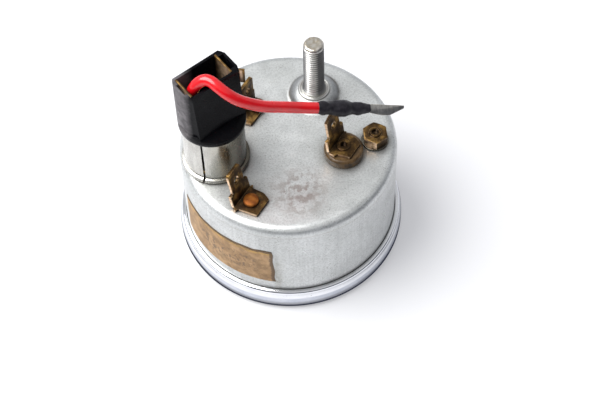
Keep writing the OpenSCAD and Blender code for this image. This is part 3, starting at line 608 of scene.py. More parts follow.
def thin_washer():
    low, high = box_mm("nut_washer")
    edge = high.x - SCREW.x
    return turned([(1.52, low.z), (edge, low.z, 0.1), (edge, high.z, 0.15), (1.52, high.z)], 64, SCREW)


piece(hex_nut(), "hex_nut", "brass_nut", crease=28)
piece(screw_end(), "burred_screw", "back_screw")
piece(thin_washer(), "thin_washer", "nut_washer")

# %% [markdown]
# ## Spade terminals
# Each terminal is stamped flat from brass sheet and folded up, and it is made the same way here: a flat
# blank with its holes, whose points beyond the fold line are carried round the bend. The strip is first
# cut across many times, so that the bend comes out round.

# %% Terminal tool
TAB_T = 0.8
TAB_HALF = 2.4
TAB_TURN = -33
BEND_OUT = 0.95
BEND_CUTS = 14
EAR_TOP = 4.2


def folded_tab(rivet, foot_z, reach, plate_form, tab_form, hole_r):
    """A terminal: a plate round its rivet, folded up into a leaning spade tab at the distance reach."""
    far, front, back, step, fold_half = plate_form
    height, hole_h, ear_half, lean, forward, corner_w, corner_h = tab_form
    sweep = math.radians(90 - lean)
    middle = BEND_OUT - TAB_T / 2
    run = BEND_OUT * math.tan(sweep / 2)
    fold_x = run - reach
    bend = sweep * middle

    def up(along):
        return fold_x - bend - (along - run)

    tip, ear, eased_in = up(height), up(EAR_TOP), fold_x - 0.6 * bend
    step_x = max(step - 0.4, fold_x + 0.15)
    blank = [(fold_x + 0.05, -forward - fold_half), (step_x, -forward - fold_half), (step, -front),
             (far, 0.7 - front, 0.2), (far, back - 0.9, 0.2), (far - 2, back, 0.3), (1.4 - reach, back - 0.2),
             (1.1 - reach, fold_half - forward), (fold_x + 0.05, fold_half - forward),
             (eased_in, ear_half - forward), (ear, ear_half - forward), (ear, TAB_HALF - forward),
             (tip + 0.45, TAB_HALF - forward), (tip, TAB_HALF - 0.45 - forward),
             (tip, corner_w - TAB_HALF - forward), (tip + corner_h, -TAB_HALF - forward),
             (ear, -TAB_HALF - forward), (ear, -ear_half - forward), (eased_in, -ear_half - forward)]
    bm = plate(blank, TAB_T, holes=[(up(hole_h), -forward, 0.9), (0, 0, hole_r)])
    soften(bm, 0.11)
    for i in range(BEND_CUTS + 1):
        sliced(bm, (fold_x + 0.1 - (bend + 0.2) * i / BEND_CUTS, 0, 0), (1, 0, 0))
    for v in bm.verts:
        beyond = fold_x - v.co.x
        if beyond > 0:
            angle = min(beyond / middle, sweep)
            straight = max(0, beyond - bend)
            radius = BEND_OUT - v.co.z
            v.co.x = fold_x - radius * math.sin(angle) - straight * math.cos(angle)
            v.co.z = BEND_OUT - radius * math.cos(angle) + straight * math.sin(angle)
    roughen(bm, 3.0, 0.05, rivet.x)
    turn(bm, TAB_TURN)
    return shift(bm, rivet.x, rivet.y, foot_z)


# %% Three terminals
EARTH = centre_mm("earth_rivet")
BATTERY = centre_mm("battery_rivet")
SENDER = centre_mm("sender_rivet")
BUSH_TOP = box_mm("sender_bush")[1].z

# Each plate: far, front and back edge, step of the front edge, half length at the fold.
# Each tab: height, height of the hole, half width of the ears, lean, shift to the front, cut corner.
EARTH_FORM = (3.3, 3.3, 3.5, -1.3, 4.05), (10.4, 6.95, 3.5, 11, 0, 0.45, 0.45)
BATTERY_FORM = (1.55, 6.1, 2.2, -1.4, 2.95), (9.5, 6.5, 2.8, 1, 0.98, 0.45, 0.45)
SENDER_FORM = (3.15, 2.95, 3.4, 0.1, 3.75), (10.4, 6.95, 3.5, 8, 0, 1.7, 0.65)

piece(folded_tab(EARTH, CASE_TOP, 3.05, *EARTH_FORM, 1.26), "earth_spade_tab", "earth_tab", crease=40)
piece(folded_tab(BATTERY, CASE_TOP, 2.71, *BATTERY_FORM, 1.26), "battery_spade_tab", "battery_tab", crease=40)
piece(folded_tab(SENDER, BUSH_TOP, 2.5, *SENDER_FORM, 1.11), "sender_spade_tab", "sender_tab", crease=40)

# %% [markdown]
# The earth and supply tabs are held by copper rivets with low domed heads. The sender's tab has to be
# insulated from the case, so it stands on a brown phenolic bush and is held by a hollow rivet.

# %% Rivets and bush
def domed_rivet(node):
    low, high = box_mm(node)
    at = centre_mm(node)
    inner = low.z + 0.8
    seat = CASE_TOP + TAB_T + 0.02
    bm = turned([(0, low.z), (1.85, low.z, 0.2), (1.85, inner, 0.1), (1.24, inner), (1.24, seat),
                 (1.84, seat, 0.08), (1.84, seat + 0.73, 0.2), (1.15, high.z - 0.04, 0.5),
                 (0, high.z)], 64, at)
    return roughen(bm, 1.4, 0.05, at.x)


def hollow_rivet():
    low, high = box_mm("sender_rivet")
    inner = low.z + 0.8
    seat = BUSH_TOP + TAB_T
    return turned([(0, low.z), (1.8, low.z, 0.2), (1.8, inner, 0.1), (1.09, inner), (1.09, seat),
                   (1.68, seat, 0.08), (1.68, high.z, 0.16), (0.85, high.z, 0.18), (0.65, high.z - 0.5, 0.1),
                   (0.65, seat - 1.2, 0.1), (0, seat - 1.2)], 48, SENDER)


def phenolic_bush():
    low, high = box_mm("sender_bush")
    edge = high.x - SENDER.x
    bm = turned([(1.12, low.z), (2.59, low.z), (2.59, CASE_TOP), (edge, CASE_TOP, 0.1),
                 (edge, high.z - 0.45, 0.15), (edge - 0.45, high.z, 0.15), (1.12, high.z)])
    return over(roughen(bm, 2.0, 0.03, 2), SENDER)


piece(domed_rivet("earth_rivet"), "copper_rivet_earth", "earth_rivet")
piece(domed_rivet("battery_rivet"), "copper_rivet_supply", "battery_rivet")
piece(hollow_rivet(), "hollow_rivet", "sender_rivet")
piece(phenolic_bush(), "phenolic_bush", "sender_bush")

# %% [markdown]
# ## The lamp holder
# The lamp holder pulls out of the back. Its sleeve is rolled from tinned strip, so it is split down one
# side: the outline is spun through a little less than a full turn. A bead stops it on the case.

# %% Split sleeve
SLIT_AT = 250
SLIT_W = 0.5
SLEEVE_R = 7.33
SLEEVE_WALL = 0.45


def split_sleeve():
    low, high = box_mm("lamp_sleeve")
    gap = math.degrees(SLIT_W / SLEEVE_R)
    inside = SLEEVE_R - SLEEVE_WALL
    bead = high.x - LAMP.x
    foot = CASE_TOP + 0.1
    bm = turned([(inside, low.z, 0.1), (SLEEVE_R, low.z, 0.2), (SLEEVE_R, foot), (bead, foot, 0.25),
                 (bead, foot + 1.1, 0.35), (SLEEVE_R, foot + 1.15, 0.1), (SLEEVE_R, 38), (SLEEVE_R, 42),
                 (SLEEVE_R, high.z, 0.15), (inside, high.z, 0.1), (inside, 40)], 160, sweep=360 - gap)
    turn(bm, SLIT_AT + gap / 2)
    return over(roughen(bm, 5.0, 0.1, 4), LAMP)


piece(split_sleeve(), "split_tin_sleeve", "lamp_sleeve")

# %% [markdown]
# The cap is a black phenolic moulding with an open top, pockets at its sides and a flat, leaning front.
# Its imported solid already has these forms, so a copy of it with rounded edges will do. The contacts are
# made in the same way.

# %% Moulded cap and its contacts
def eased(node, width=0.1, flat=1.0):
    return soften(carried(node, flat), width, 2, 32)


piece(eased("lamp_cap", 0.16, 2.0), "moulded_cap", "lamp_cap", crease=40)
for side in ("l", "r"):
    piece(eased(f"contact_strip_{side}", 0.12), f"brass_contact_{side}", f"contact_strip_{side}")
piece(eased("contact_blade"), "brass_contact_lug", "contact_blade")


def solder_blob():
    low, high = box_mm("solder_joint")
    bm = bmesh.new()
    bmesh.ops.create_icosphere(bm, subdivisions=4, radius=0.5)
    bmesh.ops.scale(bm, vec=(high - low) * 0.98, verts=bm.verts[:])
    roughen(bm, 0.7, 0.12, 5)
    return shift(bm, *((low + high) / 2))


piece(solder_blob(), "solder_blob", "solder_joint", crease=60)

# %% [markdown]
# The bulb hangs under the cap and is seen when the holder is pulled out: a brass screw base with a
# rolled thread and a clear glass with a coiled filament on two wires.

# %% Bulb
BULB_NECK = 4.1
BULB_WALL = 0.4


def bulb_screw():
    low, high = box_mm("bulb_base")
    body = turned([(0, low.z), (4.25, low.z, 0.3), (4.25, low.z + 1.2), (4.25, high.z - 2),
                   (3.6, high.z - 1.2, 0.4), (1.4, high.z - 0.9, 0.3), (1.3, high.z, 0.35), (0, high.z)], 64)
    rolled = thread(4.75, 4.2, 1.8, low.z + 1.0, high.z - 2.2, 64)
    return over(together(body, rolled), LAMP)


def bulb_envelope():
    low, high = box_mm("bulb_glass")
    globe = high.x - LAMP.x
    top = high.z - 0.05
    inside, bore = globe - BULB_WALL, BULB_NECK - BULB_WALL
    return turned([(0, low.z), (globe, low.z, globe * 0.98), (globe, low.z + 7.2, 2.2),
                   (BULB_NECK, top - 1.6, 1.2), (BULB_NECK, top), (bore, top), (bore, top - 1.4, 1.0),
                   (inside, low.z + 7.2, 2.2), (inside, low.z + BULB_WALL, globe * 0.9),
                   (0, low.z + BULB_WALL)], 72, LAMP)


piece(bulb_screw(), "bulb_screw_base", "bulb_base")
piece(bulb_envelope(), "bulb_envelope", "bulb_glass")

# %% Filament
POST_AT = 1.4
COIL_TURNS = 14
COIL_STEPS = 12
COIL_PITCH = 0.2


def filament():
    """Two supports and a coiled wire between them, as thin swept tubes."""
    top = box_mm("bulb_glass")[1].z
    parts = []
    for x in (-POST_AT, POST_AT):
        post = bmesh.new()
        bmesh.ops.create_cone(post, cap_ends=True, segments=10, radius1=0.14, radius2=0.14, depth=7)
        parts.append(shift(post, x, 0, top - 3.8))
    upright = Matrix.Translation((0.28, 0, 0)) @ Matrix.Rotation(math.pi / 2, 4, "X")
    coil = bmesh.new()
    bmesh.ops.create_circle(coil, cap_ends=True, segments=8, radius=0.06, matrix=upright)
    spun(coil, 360 * COIL_TURNS, COIL_STEPS * COIL_TURNS, COIL_PITCH / COIL_STEPS)
    turn(close_up(coil), 90, "Y")
    parts.append(shift(coil, -POST_AT, 0, top - 7.2))
    return over(together(*parts), LAMP)


wire = piece(filament(), "bulb_filament", "bulb_base")
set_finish(wire, "steel")

# %% [markdown]
# ## The face
# The gauge lies on its face, but the part is seen from every side. The dial is a black disc with a plain
# scale: five numbers and their ticks, which face down.

# %% Dial and scale
DIAL_Z = box_mm("dial")[0].z
SWEEP_FROM, SWEEP_TO = 42, 138
NUMBERS = ("40", "60", "80", "100", "120")
NUMBER_SIZE = 3.2
NUMBERS_R = 14.6
TICKS_R = 21.2
LONG_TICK = (3.2, 0.55)
SHORT_TICK = (1.8, 0.25)
PRINT_T = 0.03


def printed_number(text, angle):
    """A number at its place on the scale, facing down."""
    font = bpy.data.curves.new("number", "FONT")
    font.body = text
    font.size = NUMBER_SIZE
    font.extrude = PRINT_T / 2
    font.align_x, font.align_y = "CENTER", "CENTER"
    obj = shown("number", font)
    scene.view_layers[0].update()
    bm = bmesh.new()
    bm.from_mesh(bpy.data.meshes.new_from_object(obj))
    bpy.data.objects.remove(obj)
    turn(close_up(bm), 180, "Y")
    angle = math.radians(angle)
    return shift(bm, NUMBERS_R * math.cos(angle), NUMBERS_R * math.sin(angle), DIAL_Z - PRINT_T)


def printed_scale():
    parts = []
    step = (SWEEP_TO - SWEEP_FROM) / 16
    for i in range(17):
        length, width = SHORT_TICK if i % 4 else LONG_TICK
        tick = bar((length, width, PRINT_T), (TICKS_R - length / 2, 0, DIAL_Z - PRINT_T / 2), 0.01)
        parts.append(turn(tick, SWEEP_FROM + i * step))
    for i, text in enumerate(NUMBERS):
        parts.append(printed_number(text, SWEEP_FROM + 4 * i * step))
    return together(*parts)


def disc(node, bore, edge):
    """A flat disc of a node's size, with a hole of the bore's radius."""
    low, high = box_mm(node)
    return turned([(bore, low.z), (high.x, low.z, edge), (high.x, high.z, edge), (bore, high.z)], 160)


dial_print = piece(printed_scale(), "dial_print", "dial")
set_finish(dial_print, "pointer_paint")
piece(disc("dial", 1.4, 0.08), "dial_disc", "dial")
piece(disc("glass", 0, 0.15), "cover_glass", "glass")
piece(eased("pointer", 0.06), "tapered_pointer", "pointer")
piece(eased("pointer_hub", 0.12), "pointer_boss", "pointer_hub")

# %% [markdown]
# ## Painting tools
# A finish is built up like paint: a ground colour, then thin coats, and a mask says where each one lies.
# A mask asks where a point is on the piece or how the grain looks there, and a ramp turns the answer
# into a share. Lengths are millimetres in the piece's own Object coordinates, so that a 0.3 mm speck is
# 0.3 mm on every piece.

# %% Nodes
def rgba(colour):
    return (*colour, 1) if hasattr(colour, "__len__") else (colour, colour, colour, 1)


class Nodes:
    """The node tree of a material or world, with a method for each kind of node."""

    def __init__(self, owner):
        owner.use_nodes = True
        self.tree = owner.node_tree

    def add(self, kind, inputs=None, **settings):
        """One node. Its inputs are numbers, colours or links, and settings are its own properties."""
        made = self.tree.nodes.new("ShaderNode" + kind)
        for name, value in settings.items():
            setattr(made, name, value)
        for name, value in (inputs or {}).items():
            if isinstance(value, bpy.types.NodeSocket):
                self.tree.links.new(value, made.inputs[name])
            else:
                made.inputs[name].default_value = value
        return made

    def maths(self, operation, first, second=0.0):
        return self.add("Math", {0: first, 1: second}, operation=operation).outputs[0]

    def times(self, first, *others):
        for other in others:
            first = self.maths("MULTIPLY", first, other)
        return first

    def vector(self, operation, first, second=ORIGIN, result="Vector"):
        return self.add("VectorMath", {0: first, 1: second}, operation=operation).outputs[result]

    def split(self, vector):
        return self.add("SeparateXYZ", {0: vector}).outputs

    def ramp(self, value, *stops):
        """A colour or grey for each place along a value."""
        made = self.add("ValToRGB", {"Fac": value})
        elements = made.color_ramp.elements
        while len(elements) < len(stops):
            elements.new(1)
        for element, (position, colour) in zip(elements, stops):
            element.position = position
            element.color = rgba(colour)
        return made.outputs["Color"]

    def mixed(self, share, first, second, how="MIX"):
        first, second = (c if isinstance(c, bpy.types.NodeSocket) else rgba(c) for c in (first, second))
        return self.add("Mix", {0: share, 6: first, 7: second}, data_type="RGBA", blend_type=how).outputs[2]

    def spot(self, centre=ORIGIN):
        """The point on the piece, from a centre."""
        scaled = self.vector("MULTIPLY", self.add("TexCoord").outputs["Object"], (1 / MM,) * 3)
        return self.vector("SUBTRACT", scaled, tuple(centre))

    def ring(self, centre, unit):
        """The distance from an upright axis, in units of so many millimetres."""
        flat = self.vector("MULTIPLY", self.spot(centre), (1, 1, 0))
        return self.maths("DIVIDE", self.vector("LENGTH", flat, result="Value"), unit)

    def turns(self, vector):
        """How far round a vector points: 0 at the left, a quarter in front, a half at the right."""
        across = self.split(vector)
        angle = self.maths("ARCTAN2", across["Y"], across["X"])
        return self.maths("ADD", self.maths("DIVIDE", angle, math.tau), 0.5)

    def height(self, unit):
        return self.maths("DIVIDE", self.split(self.spot())["Z"], unit)

    def grain(self, size, detail, seed=0, stretch=(1, 1, 1), sharp=0.55):
        """Noise whose features are about size millimetres."""
        inputs = {0: self.spot(), 1: tuple(s / size for s in stretch), 2: (seed, seed * 1.7, seed * 0.6)}
        scaled = self.add("VectorMath", inputs, operation="MULTIPLY_ADD").outputs[0]
        inputs = {"Vector": scaled, "Scale": 1, "Detail": detail, "Roughness": sharp}
        return self.add("TexNoise", inputs).outputs["Fac"]

    def patchy(self, size, detail, seed, *stops, **form):
        """A ramp along a grain."""
        return self.ramp(self.grain(size, detail, seed, **form), *stops)

    def relief(self, height, depth, normal=None):
        """A bump of that depth."""
        inputs = {"Height": height, "Distance": depth * MM, "Strength": 1}
        if normal:
            inputs["Normal"] = normal
        return self.add("Bump", inputs).outputs["Normal"]


# %% Finishes
class Finish(Nodes):
    """The material of one kind of surface: a ground colour and the coats over it."""

    def __init__(self, name, **sockets):
        self.material = bpy.data.materials.new(name)
        super().__init__(self.material)
        self.surface = self.tree.nodes["Principled BSDF"].inputs
        self.colour = None
        for socket, value in sockets.items():
            self.surface[socket.replace("_", " ")].default_value = value

    def coat(self, where, colour, how="MIX"):
        self.colour = self.mixed(where, self.colour, colour, how)

    def facing(self, direction, *stops):
        """A ramp along how squarely the surface faces a direction."""
        normal = self.add("NewGeometry").outputs["Normal"]
        return self.ramp(self.vector("DOT_PRODUCT", normal, direction, "Value"), *stops)

    def edge_wear_and_highlight(self, width):
        """1 on the edges, where a rounded normal would differ from the true one, for worn edges and
        highlights.
        """
        rounded = self.add("Bevel", {"Radius": width * MM}, samples=4).outputs["Normal"]
        return self.facing(rounded, (0.8, 1), (0.985, 0))

    def painted_corner_shade(self, reach, *stops):
        """A ramp along how open a point is, from ambient occlusion: 1 where open, 0 in a corner, to paint
        shade.
        """
        openness = self.add("AmbientOcclusion", {"Distance": reach * MM}, samples=4).outputs["AO"]
        return self.ramp(openness, *stops)

    def done(self, rough=None, normal=None):
        for socket, value in (("Base Color", self.colour), ("Roughness", rough), ("Normal", normal)):
            if value:
                self.tree.links.new(value, self.surface[socket])
        return self.material


def dress(slot, material):
    """Gives the finish to every shown piece of that material slot."""
    count = 0
    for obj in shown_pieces():
        if (obj.get("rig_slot") or slot_of.get(obj.get("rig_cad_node"))) != slot:
            continue
        if not obj.material_slots:
            obj.data.materials.append(material)
        for held in obj.material_slots:
            held.material = material
        count += 1
    print(f"{slot}: {count} pieces")


# %% [markdown]
# ## Zinc plate
# The cup is zinc-plated steel that has gone dull: a pale grey with soft clouds, dark pin-pricks, brown
# dirt beside the label, painted shade round the foot and flanks of the boss and in the corners, and fine
# upright draw marks on the side. The marks are one noise stretched along Z, and the painted shade round
# the boss follows the distance from the stud's axis.

# %% Zinc plate
SMEAR_AT = (2.2, -14.8, 0)


def zinc_plate():
    f = Finish("zinc_plate", Metallic=0.72)
    f.colour = f.patchy(9, 5, 0, (0.3, (0.53, 0.545, 0.535)), (0.7, (0.69, 0.705, 0.70)))
    f.coat(0.8, f.patchy(0.45, 4, 3, (0.36, 0.72), (0.56, 1), sharp=0.7), "MULTIPLY")
    pricks = f.patchy(0.28, 2, 8, (0.62, 0), (0.69, 0.85))
    f.coat(f.times(pricks, f.patchy(5, 3, 5, (0.38, 0), (0.6, 1))), (0.12, 0.10, 0.075))

    up = f.height(CASE_TOP)
    side = f.ramp(up, (0.9, 1), (0.94, 0))
    marks = f.patchy(0.5, 3, 2, (0.35, 0.88), (0.6, 1), stretch=(1, 1, 0.03))
    f.coat(f.times(side, 0.7), f.mixed(1, f.colour, marks, "MULTIPLY"))
    f.coat(f.ramp(up, (0.913, 0), (0.919, 0.35), (0.925, 0)), (0.22, 0.18, 0.13))

    from_stud = f.ring(STUD, 10)
    # Painted shade, patchy and brown, in the crease at the foot of the boss.
    foot = f.ramp(from_stud, (0.5, 0), (0.585, 0.7), (0.6, 0.9), (0.65, 0))
    f.coat(f.times(foot, f.patchy(2.5, 3, 11, (0.3, 0.15), (0.6, 0.9))), (0.13, 0.10, 0.07))
    # Painted shade on the boss's flanks: dark on the left, right and back, lighter at the front.
    boss_flank_shade = f.ramp(from_stud, (0.30, 0), (0.305, 0.8), (0.36, 0.7), (0.40, 0.15), (0.47, 0.55), (0.58, 0.6),
                   (0.62, 0))
    flank_shade_by_side = f.ramp(f.turns(f.spot(STUD)), (0, 1), (0.16, 0.95), (0.25, 0.35), (0.33, 0.5), (0.5, 0.85),
                  (0.8, 1))
    f.coat(f.times(boss_flank_shade, flank_shade_by_side), (0.10, 0.10, 0.11))

    beside_label = f.ramp(f.turns(f.spot()), (0.224, 0), (0.226, 0.5), (0.231, 0.3), (0.24, 0))
    label_height = f.ramp(up, (0.2, 0.5), (0.3, 1), (0.62, 1), (0.7, 0))
    dirt = f.patchy(1.2, 4, 17, (0.35, 0.3), (0.6, 1))
    f.coat(f.times(beside_label, label_height, dirt), (0.16, 0.14, 0.09))
    smear = f.ramp(f.ring(SMEAR_AT, 10), (0.25, 0.5), (0.8, 0))
    f.coat(f.times(smear, f.patchy(1.7, 4, 29, (0.46, 0), (0.55, 1))), (0.20, 0.13, 0.10))
    # Painted shade in the corners, from ambient occlusion, round the feet of the parts on the back.
    f.coat(f.painted_corner_shade(2.8, (0.4, 0.9), (0.92, 0)), (0.09, 0.075, 0.055))

    rough = f.patchy(3, 4, 6, (0.3, 0.27), (0.7, 0.37))
    rough = f.mixed(side, f.maths("ADD", rough, 0.08), rough)
    return f.done(rough, f.relief(f.grain(0.6, 4, 9), 0.008, f.relief(f.grain(14, 2, 1), 0.15)))


dress("case_steel", zinc_plate())


# %% [markdown]
# ## Chrome
# Chrome is a near-white mirror. What makes it look real is what it reflects and the faint smears and
# pits on it, so its roughness changes a little over the surface. A blue-grey reflection is painted in
# the waist, and a navy one, of the floor's shade, at the foot of the outer side.

# %% Chrome
def chrome():
    f = Finish("chrome", Metallic=1)
    smears = f.grain(4, 4, 2)
    f.colour = f.ramp(smears, (0.3, (0.74, 0.755, 0.79)), (0.7, (0.84, 0.85, 0.88)))
    f.coat(f.patchy(0.35, 2, 12, (0.7, 0), (0.76, 1)), (0.12, 0.10, 0.09))
    up = f.height(10)
    # Painted reflection: a blue-grey band round the waist.
    waist = f.ramp(up, (0.22, 0), (0.27, 0.75), (0.40, 0.75), (0.43, 0))
    f.coat(f.times(waist, f.ramp(smears, (0.3, 0.6), (0.6, 1))), (0.42, 0.45, 0.53))
    # Painted reflection of the floor's shade: navy at the foot of the outer side.
    outer_side = f.ramp(f.ring(ORIGIN, 100), (0.27, 0), (0.274, 1))
    f.coat(f.times(f.ramp(up, (0.05, 0.9), (0.11, 0)), outer_side), (0.08, 0.09, 0.15))
    return f.done(f.ramp(smears, (0.35, 0.04), (0.75, 0.12)), f.relief(f.grain(3, 2, 4), 0.006))


dress("chrome", chrome())


# %% [markdown]
# ## Brass, bright and aged
# Old brass is nearly black-brown in its hollows, from patina and painted shade, olive-gold on its faces
# and bright where it is handled. The Bevel node finds the edges and Ambient Occlusion the hollows, so one
# function serves every tab. The side of the tabs that faces the front left gets a painted highlight.

# %% Brass
# The direction of the tab faces that get a painted highlight, to the front left.
LIT_SIDE = math.radians(TAB_TURN - 90)


def aged_brass():
    f = Finish("aged_brass", Metallic=0.85)
    f.colour = f.patchy(2.2, 5, 3, (0.34, (0.028, 0.015, 0.007)), (0.5, (0.092, 0.050, 0.017)),
                        (0.66, (0.30, 0.175, 0.050)), sharp=0.65)
    # Painted shade in the hollows, over the dark patina.
    f.coat(f.painted_corner_shade(2.2, (0.45, 0.9), (0.95, 0)), (0.035, 0.022, 0.012))
    worn = f.times(f.edge_wear_and_highlight(0.18), f.patchy(1.2, 3, 7, (0.35, 0.1), (0.6, 0.9)))
    f.coat(worn, (0.72, 0.50, 0.24))
    # Painted highlight: pale peach on the faces turned to the front left.
    lit_face = f.facing((math.cos(LIT_SIDE), math.sin(LIT_SIDE), 0), (0.86, 0), (0.95, 0.95))
    f.coat(f.times(lit_face, f.patchy(1.4, 3, 13, (0.35, 0.35), (0.55, 1))), (0.95, 0.68, 0.46))
    rough = f.mixed(worn, f.patchy(0.8, 4, 5, (0.3, 0.32), (0.7, 0.55)), 0.25)
    return f.done(rough, f.relief(f.grain(0.5, 4, 4), 0.02))


def bright_brass():
    f = Finish("bright_brass", Metallic=0.95)
    f.colour = f.patchy(2.5, 4, 6, (0.3, (0.42, 0.27, 0.10)), (0.7, (0.70, 0.50, 0.22)))
    return f.done(f.patchy(1, 3, 8, (0.3, 0.22), (0.7, 0.4)), f.relief(f.grain(0.4, 3), 0.008))


dress("aged_brass", aged_brass())
dress("brass", bright_brass())


# %% [markdown]
# ## Copper
# The rivet heads are dull orange copper, with painted shade in the ring where they meet the plate. The
# windings inside are the same metal under enamel, with the wire's turns as a fine wave.

# %% Copper
def rivet_copper():
    f = Finish("rivet_copper", Metallic=0.75)
    f.colour = f.patchy(1.3, 5, 2, (0.3, (0.12, 0.034, 0.007)), (0.5, (0.26, 0.080, 0.013)),
                        (0.72, (0.46, 0.17, 0.030)))
    # Painted shade in the ring where the head meets the plate.
    f.coat(f.painted_corner_shade(1.2, (0.4, 0.95), (0.9, 0)), (0.03, 0.012, 0.006))
    return f.done(f.patchy(0.6, 3, 3, (0.3, 0.42), (0.7, 0.6)), f.relief(f.grain(0.6, 3, 9), 0.02))


def enamelled_wire():
    f = Finish("enamelled_wire", Metallic=0.4, Roughness=0.3)
    wave = {"Vector": f.spot(), "Scale": 1.2, "Distortion": 0.4}
    turns = f.add("TexWave", wave, bands_direction="DIAGONAL").outputs["Fac"]
    f.colour = f.ramp(turns, (0.1, (0.12, 0.03, 0.012)), (0.6, (0.45, 0.15, 0.06)))
    return f.done(normal=f.relief(turns, 0.08))


dress("copper", rivet_copper())
dress("copper_wire", enamelled_wire())


# %% [markdown]
# ## Steel, tin and iron
# The small screws, the lead's blade and the iron parts are grey metals that differ in tint and gloss, so
# one function makes them from their own values, with painted shade in their corners. The stud and the
# sleeve have more to show: painted shade in the thread's grooves and round the stud, and a golden patina
# on the sleeve that goes into painted shade on its right.

# %% Grey metals
def grey_metal(name, dark, light, rough, stain=None, stretch=(1, 1, 1), seed=0, rim=None):
    f = Finish(name, Metallic=0.92)
    f.colour = f.patchy(1.6, 5, seed, (0.3, dark), (0.7, light), stretch=stretch)
    if stain:
        f.coat(f.patchy(3, 4, seed + 5, (0.55, 0), (0.7, 0.85)), stain)
    # Painted shade: a darker copy of the ground colour in the corners.
    f.coat(f.painted_corner_shade(1.5, (0.3, 0.85), (0.85, 0)), tuple(c * 0.12 for c in dark))
    # A pale colour painted along the edges as a highlight, where one is given.
    if rim:
        f.coat(f.edge_wear_and_highlight(0.15), rim)
    gloss = f.patchy(0.9, 3, seed + 2, (0.3, rough - 0.08), (0.7, rough + 0.08), stretch=stretch)
    return f.done(gloss, f.relief(f.grain(0.4, 3, seed + 4, stretch), 0.012))


def threaded_steel():
    """The stud: clean on the crests of its thread, with painted shade in the grooves and round its sides."""
    f = Finish("threaded_steel", Metallic=1)
    f.colour = f.patchy(1.8, 3, 3, (0.3, (0.60, 0.59, 0.57)), (0.7, (0.76, 0.75, 0.72)))
    up = f.height(100)
    stem = f.ramp(up, (0.345, 0), (0.35, 1), (0.503, 1), (0.505, 0))
    # Painted shade round the stem, open only in a band at the front left.
    side_shade = f.ramp(f.turns(f.spot(STUD)), (0, 0.9), (0.11, 0.85), (0.15, 0), (0.27, 0), (0.32, 0.85),
                     (0.5, 0.92), (0.62, 0.6), (1, 0.9))
    f.coat(f.times(side_shade, stem), (0.075, 0.075, 0.08))
    # Painted shade towards the roots of the thread.
    groove_shade = f.ramp(f.ring(STUD, 2.5), (0.89, 0.95), (0.975, 0))
    f.coat(f.times(groove_shade, stem), (0.06, 0.055, 0.05))
    end = f.times(f.ramp(up, (0.507, 0), (0.512, 1)), f.patchy(1, 4, 23, (0.35, 0.9), (0.6, 0.3)))
    f.coat(end, (0.42, 0.35, 0.24))
    return f.done(f.patchy(0.9, 3, 5, (0.3, 0.28), (0.7, 0.36)), f.relief(f.grain(1, 2, 7), 0.006))


def tinned_strip():
    """The sleeve: bright tin, with a golden patina that goes into painted shade, nearly black, on the right.
    """
    f = Finish("tinned_strip", Metallic=0.95)
    rolled = (1, 1, 0.3)
    f.colour = f.patchy(1.6, 4, 7, (0.3, (0.44, 0.43, 0.40)), (0.7, (0.62, 0.61, 0.57)), stretch=rolled)
    around = f.maths("ADD", f.turns(f.spot(LAMP)), f.times(f.grain(2.5, 4, 9), 0.03))
    # Golden patina at the front right, going into painted shade, nearly black, on the right.
    patina_and_shade = f.ramp(around, (0.22, 0), (0.33, 0.6), (0.42, 0.88), (0.6, 0.9), (0.75, 0))
    f.coat(patina_and_shade, f.ramp(around, (0.30, (0.34, 0.31, 0.22)), (0.43, (0.07, 0.06, 0.04))))
    rough = f.patchy(0.9, 3, 9, (0.3, 0.18), (0.7, 0.32), stretch=rolled)
    return f.done(rough, f.relief(f.grain(1.2, 3, 11), 0.012))


dress("stud_steel", threaded_steel())
dress("steel", grey_metal("plain_steel", (0.42,) * 3, (0.56,) * 3, 0.3, seed=5))
dress("tinned_steel", tinned_strip())
# The blade's edges get a painted tan highlight.
dress("tinned_brass", grey_metal("tinned_brass", (0.26, 0.25, 0.24), (0.50, 0.49, 0.46), 0.34,
                                 (0.30, 0.22, 0.12), (3, 1, 1), 9, rim=(0.80, 0.68, 0.48)))
dress("iron", grey_metal("soft_iron", (0.14, 0.14, 0.15), (0.24, 0.24, 0.25), 0.5, (0.16, 0.08, 0.04),
                         seed=11))


# %% [markdown]
# ## Mouldings, rubber and paint
# Phenolic, PVC, tape and paint are not metals. What tells them apart is gloss and the size of the
# unevenness: PVC is wet-looking, the cap is satin with a painted sheen on its left side, the tape is dull
# and wrinkled.

# %% Mouldings, rubber and paint
def moulded(name, dark, light, rough, size, depth, seed, dust=None, lit_sheen=None, **sockets):
    """A finish with specks of dust, and with a painted sheen on the left of the lamp holder, facing the
    light.
    """
    f = Finish(name, **sockets)
    f.colour = f.patchy(size, 4, seed, (0.3, dark), (0.7, light))
    if dust:
        f.coat(f.patchy(0.5, 4, seed + 3, (0.6, 0), (0.78, 0.6)), dust)
    if lit_sheen:
        # Painted sheen: the left of the lamp holder, which faces the light, is made paler.
        left = f.ramp(f.turns(f.spot(LAMP)), (0, 0.85), (0.115, 0.85), (0.15, 0), (0.9, 0), (1, 0.85))
        f.coat(f.times(left, f.patchy(2, 4, seed + 7, (0.3, 0.45), (0.65, 1))), lit_sheen)
    gloss = f.patchy(size * 0.6, 4, seed + 1, (0.3, rough - 0.06), (0.7, rough + 0.08))
    return f.done(gloss, f.relief(f.grain(size * 0.4, 4, seed + 2), depth))


